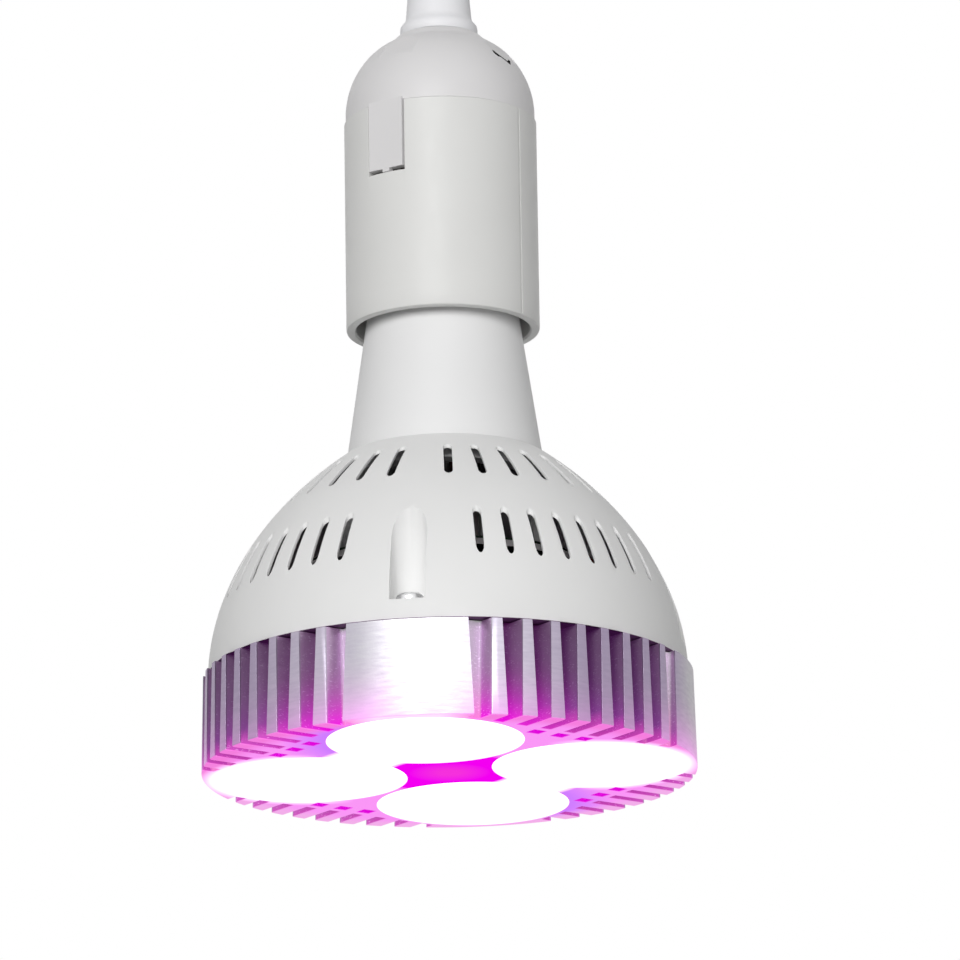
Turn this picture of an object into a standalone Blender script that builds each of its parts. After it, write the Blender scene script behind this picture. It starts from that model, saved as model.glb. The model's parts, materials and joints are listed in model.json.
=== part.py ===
"""Grow light bulb with a cast heat sink, four lenses and a vented dome, in its pendant lamp holder.

The frame's origin is the middle of the lens face, and +Z runs up the lamp's axis to the cord boot.
The near lens points along -Y. The bulb unscrews from the holder about Z, and its fan turns about Z.
"""
import math

import bmesh
import bpy
from mathutils import Matrix, Vector

MM = 0.001
GAP = 0.3 * MM                       # air left between two pieces that seat on each other

# Facets round the pieces
SINK_SIDES = 40
LENS_SIDES = 20
DOME_SIDES = 36
NECK_SIDES = 24
HOLDER_SIDES = 24
SMALL_SIDES = 16
SCREW_SIDES = 8
HOLE_SIDES = 6

# Heat sink: a casting with blocks at the four sides and straight fins between them
FACE_RADIUS = 47.5 * MM
SINK_TOP_RADIUS = 47.1 * MM
SINK_HEIGHT = 18.8 * MM
FACE_EDGE = 0.9 * MM
WELL_RADIUS = 37.2 * MM
PLATE_TOP = 12.0 * MM
FIN_PITCH = 5.5 * MM
FINS_PER_QUARTER = 8
FIN_THICK_TOP = 1.75 * MM
FIN_THICK_FACE = 2.85 * MM
SLOT_INNER_END = 38.5 * MM
BLOCK_HALF_WIDTH = 24.1 * MM         # where a block's flank stands, across the quarter's diagonal
WINDOW_MIDDLE = 35.9 * MM
WINDOW_SIZE = 3.2 * MM
LENS_CIRCLE = 27.2 * MM
POCKET_RADIUS = 18.7 * MM
POCKET_DEPTH = 8.0 * MM
FAN_BOSS_RADIUS = 3.2 * MM
DOME_SCREW_HOLE = 1.55 * MM
FAN_SCREW_HOLE = 1.5 * MM
LEAD_HOLE = 1.5 * MM
BLIND_HOLE_END = 9.4 * MM

# Lenses and light-emitting diode boards
LENS_RADIUS = POCKET_RADIUS - GAP
LENS_FRONT = 0.1 * MM
LENS_RIM = 0.5 * MM
LENS_BACK = 4.6 * MM
LENS_SKIRT = 5.8 * MM
LENS_SKIRT_INSIDE = 16.6 * MM
LENS_DISH = (13.0 * MM, 3.4 * MM)       # the dished back's radius and the height of its middle
BOARD_THICK = 1.6 * MM
LED_HEIGHT = 0.8 * MM
LED_SIZE = 3.5 * MM
LED_CIRCLE = 7.5 * MM
LEAD_CIRCLE = 31.0 * MM

# Vented dome: its outline is DOME_RADIUS cos(t)^DOME_FALL by DOME_RISE sin(t)
DOME_RADIUS = 46.16 * MM
DOME_RISE = 53.05 * MM
DOME_CENTRE = 17.96 * MM
DOME_FALL = 1.45
DOME_WALL = 1.8 * MM
DOME_RINGS = [r * MM for r in (19.75, 24.6, 33.6, 38.6, 44.0, 45.35)]    # outside, clear of the vents
INNER_RINGS = [r * MM for r in (20.7, 24.6, 34.7, 38.6, 45.35)]          # for the inside, the same way
DOME_BOTTOM = SINK_HEIGHT + GAP
DOME_MOUTH = 19.25 * MM
LOW_VENTS = 8
LOW_VENT_PITCH = 7.74
LOW_VENT_SPAN = (39.1 * MM, 43.5 * MM)
LOW_VENT_WIDTH = 1.6 * MM
HIGH_VENTS = 7
HIGH_VENT_PITCH = 11.67
HIGH_VENT_SPAN = (25.1 * MM, 33.1 * MM)
HIGH_VENT_WIDTH = 1.65 * MM
CHANNEL_CIRCLE = 42.15 * MM
CHANNEL_RADIUS = 3.4 * MM
CHANNEL_WALL = 1.6 * MM
CHANNEL_POST_TOP = 44.0 * MM
LEDGE = 22.6 * MM

# Neck, driver and fan
NECK_BASE = (18.9 * MM, 62.7 * MM)
NECK_TOP = (14.2 * MM, 94.6 * MM)
NECK_WALL = 1.8 * MM
NECK_FLANGE_RADIUS = 21.0 * MM
NECK_FLANGE = (57.0 * MM, 58.5 * MM)
SPIGOT_RADIUS = 11.2 * MM
SPIGOT_TOP = 112.0 * MM
POST_CIRCLE = 18.2 * MM
POST_RADIUS = 2.6 * MM
POST_ANGLES = (20.0, 200.0)
DRIVER_RADIUS = 28.5 * MM
DRIVER_BOTTOM = 38.0 * MM
FAN_SIZE = 50.0 * MM
FAN_DEPTH = 15.0 * MM
FAN_CORNER = 4.0 * MM
FAN_HOLE = 20.0 * MM                 # from the middle, along X and along Y
FAN_FLANGE = 3.0 * MM
FAN_TUBE_WALL = 1.4 * MM
MOTOR_BASE_RADIUS = 12.0 * MM
MOTOR_BASE_HEIGHT = 2.3 * MM
SPOKE_WIDTH = 2.4 * MM
SPINDLE_RADIUS = 1.0 * MM
DUCT_RADIUS = 23.2 * MM
HUB_RADIUS = 11.3 * MM
BLADES = 7
BLADE_THICK = 0.9 * MM
FAN_BOTTOM = SINK_HEIGHT + GAP
FAN_TOP = FAN_BOTTOM + FAN_DEPTH
ROTOR_BOTTOM = FAN_BOTTOM + 2.7 * MM
ROTOR_TOP = FAN_TOP - 0.7 * MM
DRIVER_TOP = DRIVER_BOTTOM + BOARD_THICK
DRIVER_SEAT = DRIVER_TOP + GAP       # where the driver's parts stand

# Screw cap: the usual 27 mm lamp thread, a right-hand knuckle thread
THREAD_PITCH = 3.629 * MM
THREAD_MEAN = 12.65 * MM
THREAD_WAVE = 0.5 * MM
THREAD_CLEARANCE = 0.5 * MM
ROWS_PER_TURN = 4
THREAD_SIDES = 16
SHEET = 0.35 * MM
CAP_RIM = 95.0 * MM
CAP_THREAD = (98.6 * MM, 116.0 * MM)
CAP_TOP = 117.8 * MM
CONTACT_TIP = 122.3 * MM

# Lamp holder
HOLDER_RADIUS = 18.8 * MM
HOLDER_WALL = 1.9 * MM
HOLDER_MOUTH = 88.0 * MM
SEAM = 130.0 * MM
LEDGE_IN_SKIRT = (117.2 * MM, 118.7 * MM)
CROWN_RADIUS = 18.49 * MM
CROWN_RISE = 17.47 * MM
CROWN_CENTRE = 131.8 * MM
CROWN_WALL = 1.9 * MM
CROWN_HOLE = 5.1 * MM
CROWN_FLAT = 7.4 * MM                 # the flat round the hole, where the boot's flange sits
SPIGOT_WALL = 1.6 * MM                # of the crown's spigot, which stands in the skirt
LATCH_ANGLE = -115.4
LATCH_WIDTH = 7.8 * MM
LATCH_BOTTOM = 116.6 * MM
LATCH_SLIT = 0.4 * MM
INSERT_RADIUS = 16.5 * MM
INSERT_UPPER_RADIUS = 14.6 * MM
INSERT_BOTTOM = 119.0 * MM
INSERT_STEP = 124.2 * MM
INSERT_CEILING = 123.4 * MM
INSERT_TOP = 133.5 * MM
SHELL_RIM = 97.2 * MM
SHELL_THREAD = (98.6 * MM, 108.6 * MM)
SHELL_TOP = 122.6 * MM
TERMINAL_MIDDLE = 10.5 * MM
STRIP_WIDTH = 4.2 * MM
STRIP_THICK = 0.45 * MM
BOOT_BORE = 3.1 * MM
BOOT_SEAT = 148.1 * MM
BOOT_TOP = 168.0 * MM
BOOT_BOTTOM = 141.6 * MM
BOOT_STEM = 4.7 * MM
BOOT_FLANGE = 7.6 * MM
NUT_HEIGHTS = (142.4 * MM, 145.2 * MM)
NUT_RADIUS = 7.2 * MM                 # to its corners


for old in list(bpy.data.objects):
    bpy.data.objects.remove(old)

pieces = bpy.data.collections.new("grow_light_bulb")
cutters = bpy.data.collections.new("cutters")
bpy.context.scene.collection.children.link(pieces)
bpy.context.scene.collection.children.link(cutters)


def finish(name, colour, roughness, metallic=0.0, glow=None):
    """A Principled material in the piece's own colour."""
    made = bpy.data.materials.new(name)
    made.use_nodes = True
    shader = made.node_tree.nodes["Principled BSDF"]
    shader.inputs["Base Color"].default_value = (*colour, 1.0)
    shader.inputs["Roughness"].default_value = roughness
    shader.inputs["Metallic"].default_value = metallic
    if glow:
        shader.inputs["Emission Color"].default_value = (*glow, 1.0)
        shader.inputs["Emission Strength"].default_value = 2.0
    return made


ALUMINIUM = finish("cast aluminium", (0.80, 0.79, 0.81), 0.38, 1.0)
DOME_WHITE = finish("white dome plastic", (0.83, 0.83, 0.82), 0.5)
NECK_WHITE = finish("white neck plastic", (0.80, 0.80, 0.80), 0.5)
HOLDER_WHITE = finish("white holder plastic", (0.79, 0.79, 0.77), 0.42)
BOOT_WHITE = finish("white cord boot", (0.80, 0.81, 0.84), 0.5)
LENS_GLOW = finish("lit lens", (0.95, 0.80, 0.95), 0.15, glow=(1.0, 0.35, 1.0))
BOARD_WHITE = finish("white diode board", (0.85, 0.85, 0.85), 0.5)
FAN_BLACK = finish("black fan plastic", (0.02, 0.02, 0.022), 0.5)
DRIVER_GREEN = finish("driver board laminate", (0.05, 0.12, 0.06), 0.5)
FERRITE = finish("dark ferrite", (0.06, 0.055, 0.05), 0.6)
CAN_SLEEVE = finish("capacitor sleeve", (0.25, 0.25, 0.29), 0.4)
FILM_YELLOW = finish("film capacitor case", (0.60, 0.42, 0.08), 0.5)
NICKEL = finish("nickel-plated brass", (0.78, 0.76, 0.72), 0.3, 1.0)
BRASS = finish("brass", (0.78, 0.60, 0.28), 0.35, 1.0)
STEEL = finish("zinc-plated steel", (0.72, 0.72, 0.73), 0.3, 1.0)
BLACK_GLASS = finish("black insulator", (0.03, 0.03, 0.035), 0.25)
WIRE_RED = finish("red wire sleeve", (0.50, 0.03, 0.03), 0.5)
WIRE_BLACK = finish("black wire sleeve", (0.03, 0.03, 0.03), 0.5)


def piece(name, mesh, material, parent=None):
    """A named node of the lamp, at the frame's origin."""
    made = bpy.data.objects.new(name, mesh)
    pieces.objects.link(made)
    mesh.materials.clear()
    mesh.materials.append(material)
    made.parent = parent
    return made


def tool(name, mesh):
    """A shape that only cuts, joins or trims a piece."""
    made = bpy.data.objects.new(name, mesh)
    cutters.objects.link(made)
    made.hide_render = True
    made.display_type = 'WIRE'
    return made


def change(target, other, operation):
    boolean = target.modifiers.new(operation.lower() + " " + other.name, 'BOOLEAN')
    boolean.operation = operation
    boolean.object = other
    return target


def mesh_from(name, build):
    """A mesh that the function build fills through a bmesh."""
    mesh = bpy.data.meshes.new(name)
    bm = bmesh.new()
    build(bm)
    bmesh.ops.recalc_face_normals(bm, faces=bm.faces)
    bm.to_mesh(mesh)
    bm.free()
    return mesh


def profile_mesh(name, profile, closed):
    mesh = bpy.data.meshes.new(name)
    edges = [(i, i + 1) for i in range(len(profile) - 1)]
    if closed:
        edges.append((len(profile) - 1, 0))
    mesh.from_pydata([(radius, 0.0, height) for radius, height in profile], edges, [])
    return mesh


def turn_profile(made, segments):
    screw = made.modifiers.new("turned", 'SCREW')
    screw.steps = segments
    screw.render_steps = segments
    screw.use_merge_vertices = True
    screw.merge_threshold = 0.00001
    return made


def turned(name, profile, material, segments=32, closed=True, parent=None):
    """A turned piece. Its (radius, height) points run out over the top, down the outside and back in."""
    return turn_profile(piece(name, profile_mesh(name, profile, closed), material, parent), segments)


def turned_tool(name, profile, segments=32, closed=True):
    return turn_profile(tool(name, profile_mesh(name, profile, closed)), segments)


def add_box(bm, low, high, turn=0.0):
    """A box between two corners, then turned by so many degrees about Z."""
    size = Vector(high) - Vector(low)
    middle = (Vector(high) + Vector(low)) / 2
    place = Matrix.Rotation(math.radians(turn), 4, 'Z') @ Matrix.Translation(middle)
    return bmesh.ops.create_cube(bm, size=1.0, matrix=place @ Matrix.Diagonal((*size, 1.0)))["verts"]


def add_cylinder(bm, centre, radius, bottom, top, sides=24):
    matrix = Matrix.Translation((centre[0], centre[1], (bottom + top) / 2))
    return bmesh.ops.create_cone(bm, cap_ends=True, segments=sides, radius1=radius, radius2=radius,
                                 depth=top - bottom, matrix=matrix)["verts"]


def polar(radius, degrees, height=None):
    x = radius * math.cos(math.radians(degrees))
    y = radius * math.sin(math.radians(degrees))
    return (x, y) if height is None else (x, y, height)


def mesh_of(source):
    """The welded mesh of a curve object, which is then removed."""
    bpy.context.view_layer.update()
    evaluated = source.evaluated_get(bpy.context.evaluated_depsgraph_get())
    mesh = bpy.data.meshes.new_from_object(evaluated)
    mesh.transform(source.matrix_world)
    bm = bmesh.new()
    bm.from_mesh(mesh)
    bmesh.ops.remove_doubles(bm, verts=bm.verts, dist=0.000001)
    bmesh.ops.recalc_face_normals(bm, faces=bm.faces)
    bm.to_mesh(mesh)
    bm.free()
    bpy.data.objects.remove(source)
    return mesh


def prism(name, outlines, bottom, top):
    """The mesh of flat outlines, filled as a 2D curve and extruded between two heights."""
    curve = bpy.data.curves.new(name, 'CURVE')
    curve.dimensions = '2D'
    curve.fill_mode = 'BOTH'
    curve.extrude = (top - bottom) / 2
    for outline in outlines:
        spline = curve.splines.new('POLY')
        spline.points.add(len(outline) - 1)
        for point, (x, y) in zip(spline.points, outline):
            point.co = (x, y, 0.0, 1.0)
        spline.use_cyclic_u = True
    source = bpy.data.objects.new(name, curve)
    source.location.z = (top + bottom) / 2
    cutters.objects.link(source)
    return mesh_of(source)


def long_hole(inner, outer, width, degrees, steps=2):
    """The outline of a radial slot with round ends."""
    half = width / 2
    outline = []
    for middle, first in ((outer - half, -90.0), (inner + half, 90.0)):
        for step in range(steps + 1):
            angle = math.radians(first + 180.0 * step / steps)
            outline.append(Vector((middle + half * math.cos(angle), half * math.sin(angle))))
    spin = Matrix.Rotation(math.radians(degrees), 2)
    return [tuple(spin @ point) for point in outline]


def wire(name, route, radius, material, parent=None, steps=3):
    """An insulated wire: a curve through the route's points, with round closed ends."""
    curve = bpy.data.curves.new(name, 'CURVE')
    curve.dimensions = '3D'
    curve.bevel_depth = radius
    curve.bevel_resolution = 1
    curve.use_fill_caps = True
    smooth = smooth_route([Vector(point) * MM for point in route], steps)
    spline = curve.splines.new('POLY')
    spline.points.add(len(smooth) - 1)
    for point, place in zip(spline.points, smooth):
        point.co = (*place, 1.0)
    source = bpy.data.objects.new(name, curve)
    cutters.objects.link(source)
    return piece(name, mesh_of(source), material, parent)


def smooth_route(points, steps):
    """Points on a smooth curve that passes through each given point."""
    path = []
    last = len(points) - 1
    for i in range(last):
        before = points[max(i - 1, 0)]
        start = points[i]
        end = points[i + 1]
        after = points[min(i + 2, last)]
        for step in range(steps):
            t = step / steps
            path.append(0.5 * (2 * start + (end - before) * t
                               + (2 * before - 5 * start + 4 * end - after) * t ** 2
                               + (3 * start - before - 3 * end + after) * t ** 3))
    path.append(points[-1])
    return path


def pan_screw(name, place, head_radius, head_height, shank_radius, shank_length, parent=None):
    """A pan-head screw whose head stands on the height place[2], pointing down."""
    profile = [(0.0, head_height),
               (head_radius * 0.7, head_height * 0.88),
               (head_radius, head_height * 0.3),
               (head_radius, 0.0),
               (shank_radius, 0.0),
               (shank_radius, -shank_length)]
    profile += [(0.0, -shank_length - shank_radius)]
    made = turned(name, profile, STEEL, SCREW_SIDES, closed=False, parent=parent)
    made.location = place
    return made


# Heat sink

def slot_cutters(bm):
    """The gaps between the fins, wider at the top than at the face because the casting has draft."""
    low = -1.0 * MM
    high = SINK_HEIGHT + 1.0 * MM
    last_fin = (FINS_PER_QUARTER - 1) / 2 * FIN_PITCH
    for quarter in range(4):
        turn = Matrix.Rotation(math.radians(45.0 + 90.0 * quarter), 3, 'Z')
        middles = [(k - (FINS_PER_QUARTER - 2) / 2) * FIN_PITCH for k in range(FINS_PER_QUARTER - 1)]
        spans = [(m - FIN_PITCH / 2, m + FIN_PITCH / 2, FIN_THICK_TOP / 2, FIN_THICK_FACE / 2)
                 for m in middles]
        for side in (-1, 1):
            flank = BLOCK_HALF_WIDTH + FIN_THICK_TOP / 2
            ends = sorted((side * last_fin, side * flank))
            spans.append((*ends, FIN_THICK_TOP / 2, FIN_THICK_FACE / 2))
        for start, end, inset_top, inset_face in spans:
            for vert in bmesh.ops.create_cube(bm, size=2.0)["verts"]:
                inset = inset_top if vert.co.z > 0 else inset_face
                along = FACE_RADIUS + 4 * MM if vert.co.x > 0 else SLOT_INNER_END
                across = end - inset if vert.co.y > 0 else start + inset
                vert.co = turn @ Vector((along, across, high if vert.co.z > 0 else low))


def window_cutters(bm):
    half = WINDOW_SIZE / 2
    for quarter in range(4):
        for k in (-1, 0, 1):
            low = (WINDOW_MIDDLE - half, k * FIN_PITCH - half, -1.0 * MM)
            high = (WINDOW_MIDDLE + half, k * FIN_PITCH + half, SINK_HEIGHT + 1.0 * MM)
            add_box(bm, low, high, 45.0 + 90.0 * quarter)


def pocket_cutters(bm):
    """The four lens pockets, open at the face."""
    for quarter in range(4):
        middle = polar(LENS_CIRCLE, 90.0 * quarter)
        add_cylinder(bm, middle, POCKET_RADIUS, -1.0 * MM, POCKET_DEPTH, LENS_SIDES)


def sink_hole_cutters(bm):
    """Blind holes for the dome's screws and the fan's screws, and through holes for the leads."""
    top = SINK_HEIGHT + MM
    for quarter in range(4):
        dome_hole = polar(CHANNEL_CIRCLE, 90.0 * quarter)
        lead_hole = polar(LEAD_CIRCLE, 90.0 * quarter)
        boss = polar(FAN_HOLE * math.sqrt(2), 45.0 + 90.0 * quarter)
        add_cylinder(bm, dome_hole, DOME_SCREW_HOLE, BLIND_HOLE_END, top, HOLE_SIDES)
        add_cylinder(bm, lead_hole, LEAD_HOLE, POCKET_DEPTH - MM, PLATE_TOP + MM, HOLE_SIDES)
        add_cylinder(bm, boss, FAN_SCREW_HOLE, BLIND_HOLE_END, top, HOLE_SIDES)


def fan_boss_shapes(bm):
    for quarter in range(4):
        boss = polar(FAN_HOLE * math.sqrt(2), 45.0 + 90.0 * quarter)
        add_cylinder(bm, boss, FAN_BOSS_RADIUS, PLATE_TOP - 2 * MM, SINK_HEIGHT, SCREW_SIDES)


sink_profile = [(0.0, PLATE_TOP),
                (WELL_RADIUS, PLATE_TOP),
                (WELL_RADIUS, SINK_HEIGHT),
                (SINK_TOP_RADIUS, SINK_HEIGHT),
                (FACE_RADIUS, FACE_EDGE),
                (FACE_RADIUS - FACE_EDGE, 0.0),
                (0.0, 0.0)]
heat_sink = turned("heat_sink", sink_profile, ALUMINIUM, SINK_SIDES, closed=False)
change(heat_sink, tool("fan_bosses", mesh_from("fan_bosses", fan_boss_shapes)), 'UNION')
change(heat_sink, tool("fin_slots", mesh_from("fin_slots", slot_cutters)), 'DIFFERENCE')
change(heat_sink, tool("air_windows", mesh_from("air_windows", window_cutters)), 'DIFFERENCE')
change(heat_sink, tool("lens_pockets", mesh_from("lens_pockets", pocket_cutters)), 'DIFFERENCE')
change(heat_sink, tool("sink_holes", mesh_from("sink_holes", sink_hole_cutters)), 'DIFFERENCE')


# Lenses, diode boards and their leads

SIDES = ("front", "right", "back", "left")
lens_profile = [(0.0, LENS_DISH[1]),
                (LENS_DISH[0], LENS_BACK),
                (LENS_SKIRT_INSIDE, LENS_BACK),
                (LENS_SKIRT_INSIDE, LENS_SKIRT),
                (LENS_RADIUS, LENS_SKIRT),
                (LENS_RADIUS, LENS_RIM),
                (LENS_RADIUS * 0.6, LENS_FRONT + 0.36 * (LENS_RIM - LENS_FRONT)),
                (0.0, LENS_FRONT)]
board_bottom = LENS_SKIRT + GAP
board_top = board_bottom + BOARD_THICK


def board_shape(bm):
    add_cylinder(bm, (0.0, 0.0), LENS_RADIUS - 0.3 * MM, board_bottom, board_top, SMALL_SIDES)


def diode_shapes(bm):
    """Seven square diode packages under the board, one in the middle and six round it."""
    half = LED_SIZE / 2
    for k in range(7):
        reach = LED_CIRCLE if k else 0.0
        low = (reach - half, -half, board_bottom - LED_HEIGHT)
        high = (reach + half, half, board_bottom + BOARD_THICK / 2)
        add_box(bm, low, high, 60.0 * k)


for k, side in enumerate(SIDES):
    lens = turned("lens_" + side, lens_profile, LENS_GLOW, LENS_SIDES, closed=False)
    lens.location = polar(LENS_CIRCLE, 90.0 * (k - 1), 0.0)
    board = piece("led_board_" + side, mesh_from("led_board", board_shape), BOARD_WHITE)
    diodes = tool("diodes_" + side, mesh_from("diodes", diode_shapes))
    board.location = lens.location
    diodes.location = lens.location
    change(board, diodes, 'UNION')
    lead_route = [(24.5, 0.0, 40.9), (27.0, 0.0, 41.4), (28.7, 0.0, 39.0), (29.6, 0.0, 35.0),
                  (31.0, 0.0, 28.0), (31.0, 0.0, 18.0), (31.0, 0.0, 8.1)]
    lead = wire("led_lead_" + side, lead_route, 0.9 * MM, WIRE_RED, steps=1)
    lead.rotation_euler.z = math.radians(90.0 * (k - 1))


# Vented dome

def dome_point(t, inset=0.0):
    """A point of the dome's outline, inset along the wall's normal."""
    radius = DOME_RADIUS * math.cos(t) ** DOME_FALL
    height = DOME_CENTRE + DOME_RISE * math.sin(t)
    slope_r = -DOME_RADIUS * DOME_FALL * math.cos(t) ** (DOME_FALL - 1) * math.sin(t)
    slope_z = DOME_RISE * math.cos(t)
    size = math.hypot(slope_r, slope_z)
    return (radius - inset * slope_z / size, height + inset * slope_r / size)


def dome_angle(radius):
    """The outline's parameter where the outside has this radius."""
    return math.acos((radius / DOME_RADIUS) ** (1 / DOME_FALL))


def dome_arc(rings, inset=0.0):
    """Outline points at the given outside radii, and then at the dome's bottom edge."""
    angles = [dome_angle(radius) for radius in rings]
    angles.append(math.asin((DOME_BOTTOM - DOME_CENTRE) / DOME_RISE))
    return [dome_point(t, inset) for t in angles]


outer_arc = dome_arc(DOME_RINGS)
inner_arc = dome_arc(INNER_RINGS, DOME_WALL)
dome_profile = [(DOME_MOUTH, outer_arc[0][1] - 0.25 * MM)]
dome_profile += outer_arc
dome_profile += [(inner_arc[-1][0], DOME_BOTTOM)]
dome_profile += inner_arc[-2::-1]
dome_profile += [(DOME_MOUTH, inner_arc[0][1])]

boss_limit = dome_arc(DOME_RINGS, DOME_WALL / 2)
limit_profile = [(0.0, boss_limit[0][1])] + boss_limit + [(boss_limit[-1][0], 18.0 * MM), (0.0, 18.0 * MM)]


def screw_boss_shapes(bm):
    """The posts inside the dome that carry the screw channels."""
    for quarter in range(4):
        add_cylinder(bm, polar(CHANNEL_CIRCLE, 90.0 * quarter), CHANNEL_RADIUS + CHANNEL_WALL,
                     DOME_BOTTOM + 0.2 * MM, CHANNEL_POST_TOP, 12)


def channel_outline(degrees):
    """A groove that is half round at its inner side and open outwards."""
    outline = [Vector((52.0 * MM, -CHANNEL_RADIUS)), Vector((52.0 * MM, CHANNEL_RADIUS))]
    for step in range(6):
        angle = math.radians(90.0 + 180.0 * step / 5)
        x = CHANNEL_CIRCLE + CHANNEL_RADIUS * math.cos(angle)
        outline.append(Vector((x, CHANNEL_RADIUS * math.sin(angle))))
    spin = Matrix.Rotation(math.radians(degrees), 2)
    return [tuple(spin @ point) for point in outline]


def dome_hole_shapes(bm):
    for quarter in range(4):
        hole = polar(CHANNEL_CIRCLE, 90.0 * quarter)
        add_cylinder(bm, hole, DOME_SCREW_HOLE, DOME_BOTTOM - MM, LEDGE + MM, HOLE_SIDES)


low_vents = []
high_vents = []
for quarter in range(4):
    for k in range(LOW_VENTS):
        angle = 90.0 * quarter + 45.0 + (k - (LOW_VENTS - 1) / 2) * LOW_VENT_PITCH
        low_vents.append(long_hole(*LOW_VENT_SPAN, LOW_VENT_WIDTH, angle))
    for k in range(HIGH_VENTS):
        angle = 90.0 * quarter + 45.0 + (k - (HIGH_VENTS - 1) / 2) * HIGH_VENT_PITCH
        high_vents.append(long_hole(*HIGH_VENT_SPAN, HIGH_VENT_WIDTH, angle))

vented_dome = turned("vented_dome", dome_profile, DOME_WHITE, DOME_SIDES)
bosses = tool("screw_bosses", mesh_from("screw_bosses", screw_boss_shapes))
change(bosses, turned_tool("boss_limit", limit_profile, DOME_SIDES, closed=False), 'INTERSECT')
change(vented_dome, bosses, 'UNION')
channels = prism("screw_channels", [channel_outline(90.0 * quarter) for quarter in range(4)], LEDGE, 56 * MM)
change(vented_dome, tool("screw_channels", channels), 'DIFFERENCE')
change(vented_dome, tool("dome_holes", mesh_from("dome_holes", dome_hole_shapes)), 'DIFFERENCE')
change(vented_dome, tool("low_vents", prism("low_vents", low_vents, 26 * MM, 50 * MM)), 'DIFFERENCE')
change(vented_dome, tool("high_vents", prism("high_vents", high_vents, 41 * MM, 66 * MM)), 'DIFFERENCE')

for k, side in enumerate(SIDES):
    pan_screw("dome_screw_" + side, polar(CHANNEL_CIRCLE, 90.0 * (k - 1), LEDGE + GAP),
              2.7 * MM, 2.0 * MM, 1.2 * MM, 12.0 * MM)


# Fan

def rounded_square(size, corner, steps=1):
    outline = []
    reach = size / 2 - corner
    for k in range(4):
        middle = Vector(polar(reach * math.sqrt(2), 45.0 + 90.0 * k))
        for step in range(steps + 1):
            outline.append(tuple(middle + Vector(polar(corner, 90.0 * k + 90.0 * step / steps))))
    return outline


def fan_tube_shape(bm):
    add_cylinder(bm, (0.0, 0.0), DUCT_RADIUS + FAN_TUBE_WALL, FAN_BOTTOM + MM, FAN_TOP - MM, LENS_SIDES)


def duct_shape(bm):
    add_cylinder(bm, (0.0, 0.0), DUCT_RADIUS, FAN_BOTTOM - MM, FAN_TOP + MM, LENS_SIDES)


def fan_hole_shapes(bm):
    for k in range(4):
        hole = polar(FAN_HOLE * math.sqrt(2), 45.0 + 90.0 * k)
        add_cylinder(bm, hole, FAN_SCREW_HOLE, FAN_BOTTOM - MM, FAN_TOP + MM, HOLE_SIDES)


def spoke_shapes(bm):
    """Four spokes that carry the motor's base in the duct."""
    for k in range(4):
        low = (MOTOR_BASE_RADIUS - 1.5 * MM, -SPOKE_WIDTH / 2, FAN_BOTTOM + 0.2 * MM)
        high = (DUCT_RADIUS + 0.8 * MM, SPOKE_WIDTH / 2, FAN_BOTTOM + MOTOR_BASE_HEIGHT - 0.2 * MM)
        add_box(bm, low, high, 20.0 + 90.0 * k)


bearing_radius = SPINDLE_RADIUS + 0.4 * MM
motor_base = [(bearing_radius, FAN_BOTTOM + MOTOR_BASE_HEIGHT),
              (MOTOR_BASE_RADIUS, FAN_BOTTOM + MOTOR_BASE_HEIGHT),
              (MOTOR_BASE_RADIUS, FAN_BOTTOM + 0.1 * MM),
              (bearing_radius, FAN_BOTTOM + 0.1 * MM)]
fan_frame = piece("fan_frame", prism("fan_frame", [rounded_square(FAN_SIZE, FAN_CORNER)],
                                     FAN_BOTTOM, FAN_BOTTOM + FAN_FLANGE), FAN_BLACK)
top_flange = tool("fan_top_flange", prism("fan_top_flange", [rounded_square(FAN_SIZE, FAN_CORNER)],
                                          FAN_TOP - FAN_FLANGE, FAN_TOP))
change(fan_frame, top_flange, 'UNION')
change(fan_frame, tool("fan_tube", mesh_from("fan_tube", fan_tube_shape)), 'UNION')
change(fan_frame, tool("fan_duct", mesh_from("fan_duct", duct_shape)), 'DIFFERENCE')
change(fan_frame, tool("fan_holes", mesh_from("fan_holes", fan_hole_shapes)), 'DIFFERENCE')
spokes = tool("fan_spokes", mesh_from("fan_spokes", spoke_shapes))
change(spokes, turned_tool("motor_base", motor_base, 12), 'UNION')
change(fan_frame, spokes, 'UNION')

hub_profile = [(0.0, ROTOR_TOP),
               (HUB_RADIUS - 1.2 * MM, ROTOR_TOP),
               (HUB_RADIUS, ROTOR_TOP - 1.2 * MM),
               (HUB_RADIUS, ROTOR_BOTTOM),
               (SPINDLE_RADIUS, ROTOR_BOTTOM),
               (SPINDLE_RADIUS, FAN_BOTTOM + 0.5 * MM),
               (0.0, FAN_BOTTOM + 0.5 * MM)]


def blade_shapes(bm):
    """Seven curved blades: each is a sheet that falls from its leading edge to its trailing edge."""
    across = 2
    along = 3
    first = HUB_RADIUS - 1.0 * MM
    last = DUCT_RADIUS - 0.6 * MM
    high = ROTOR_TOP - 1.5 * MM
    low = ROTOR_BOTTOM + 1.0 * MM
    for blade in range(BLADES):
        grid = []
        for i in range(across + 1):
            row = []
            for j in range(along + 1):
                u = i / across
                v = j / along
                degrees = 360.0 * blade / BLADES + 34.0 * v ** 1.35 - 9.0 * u
                row.append(bm.verts.new(polar(first + (last - first) * u, degrees, high + (low - high) * v)))
            grid.append(row)
        for i in range(across):
            for j in range(along):
                bm.faces.new((grid[i][j], grid[i + 1][j], grid[i + 1][j + 1], grid[i][j + 1]))


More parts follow.
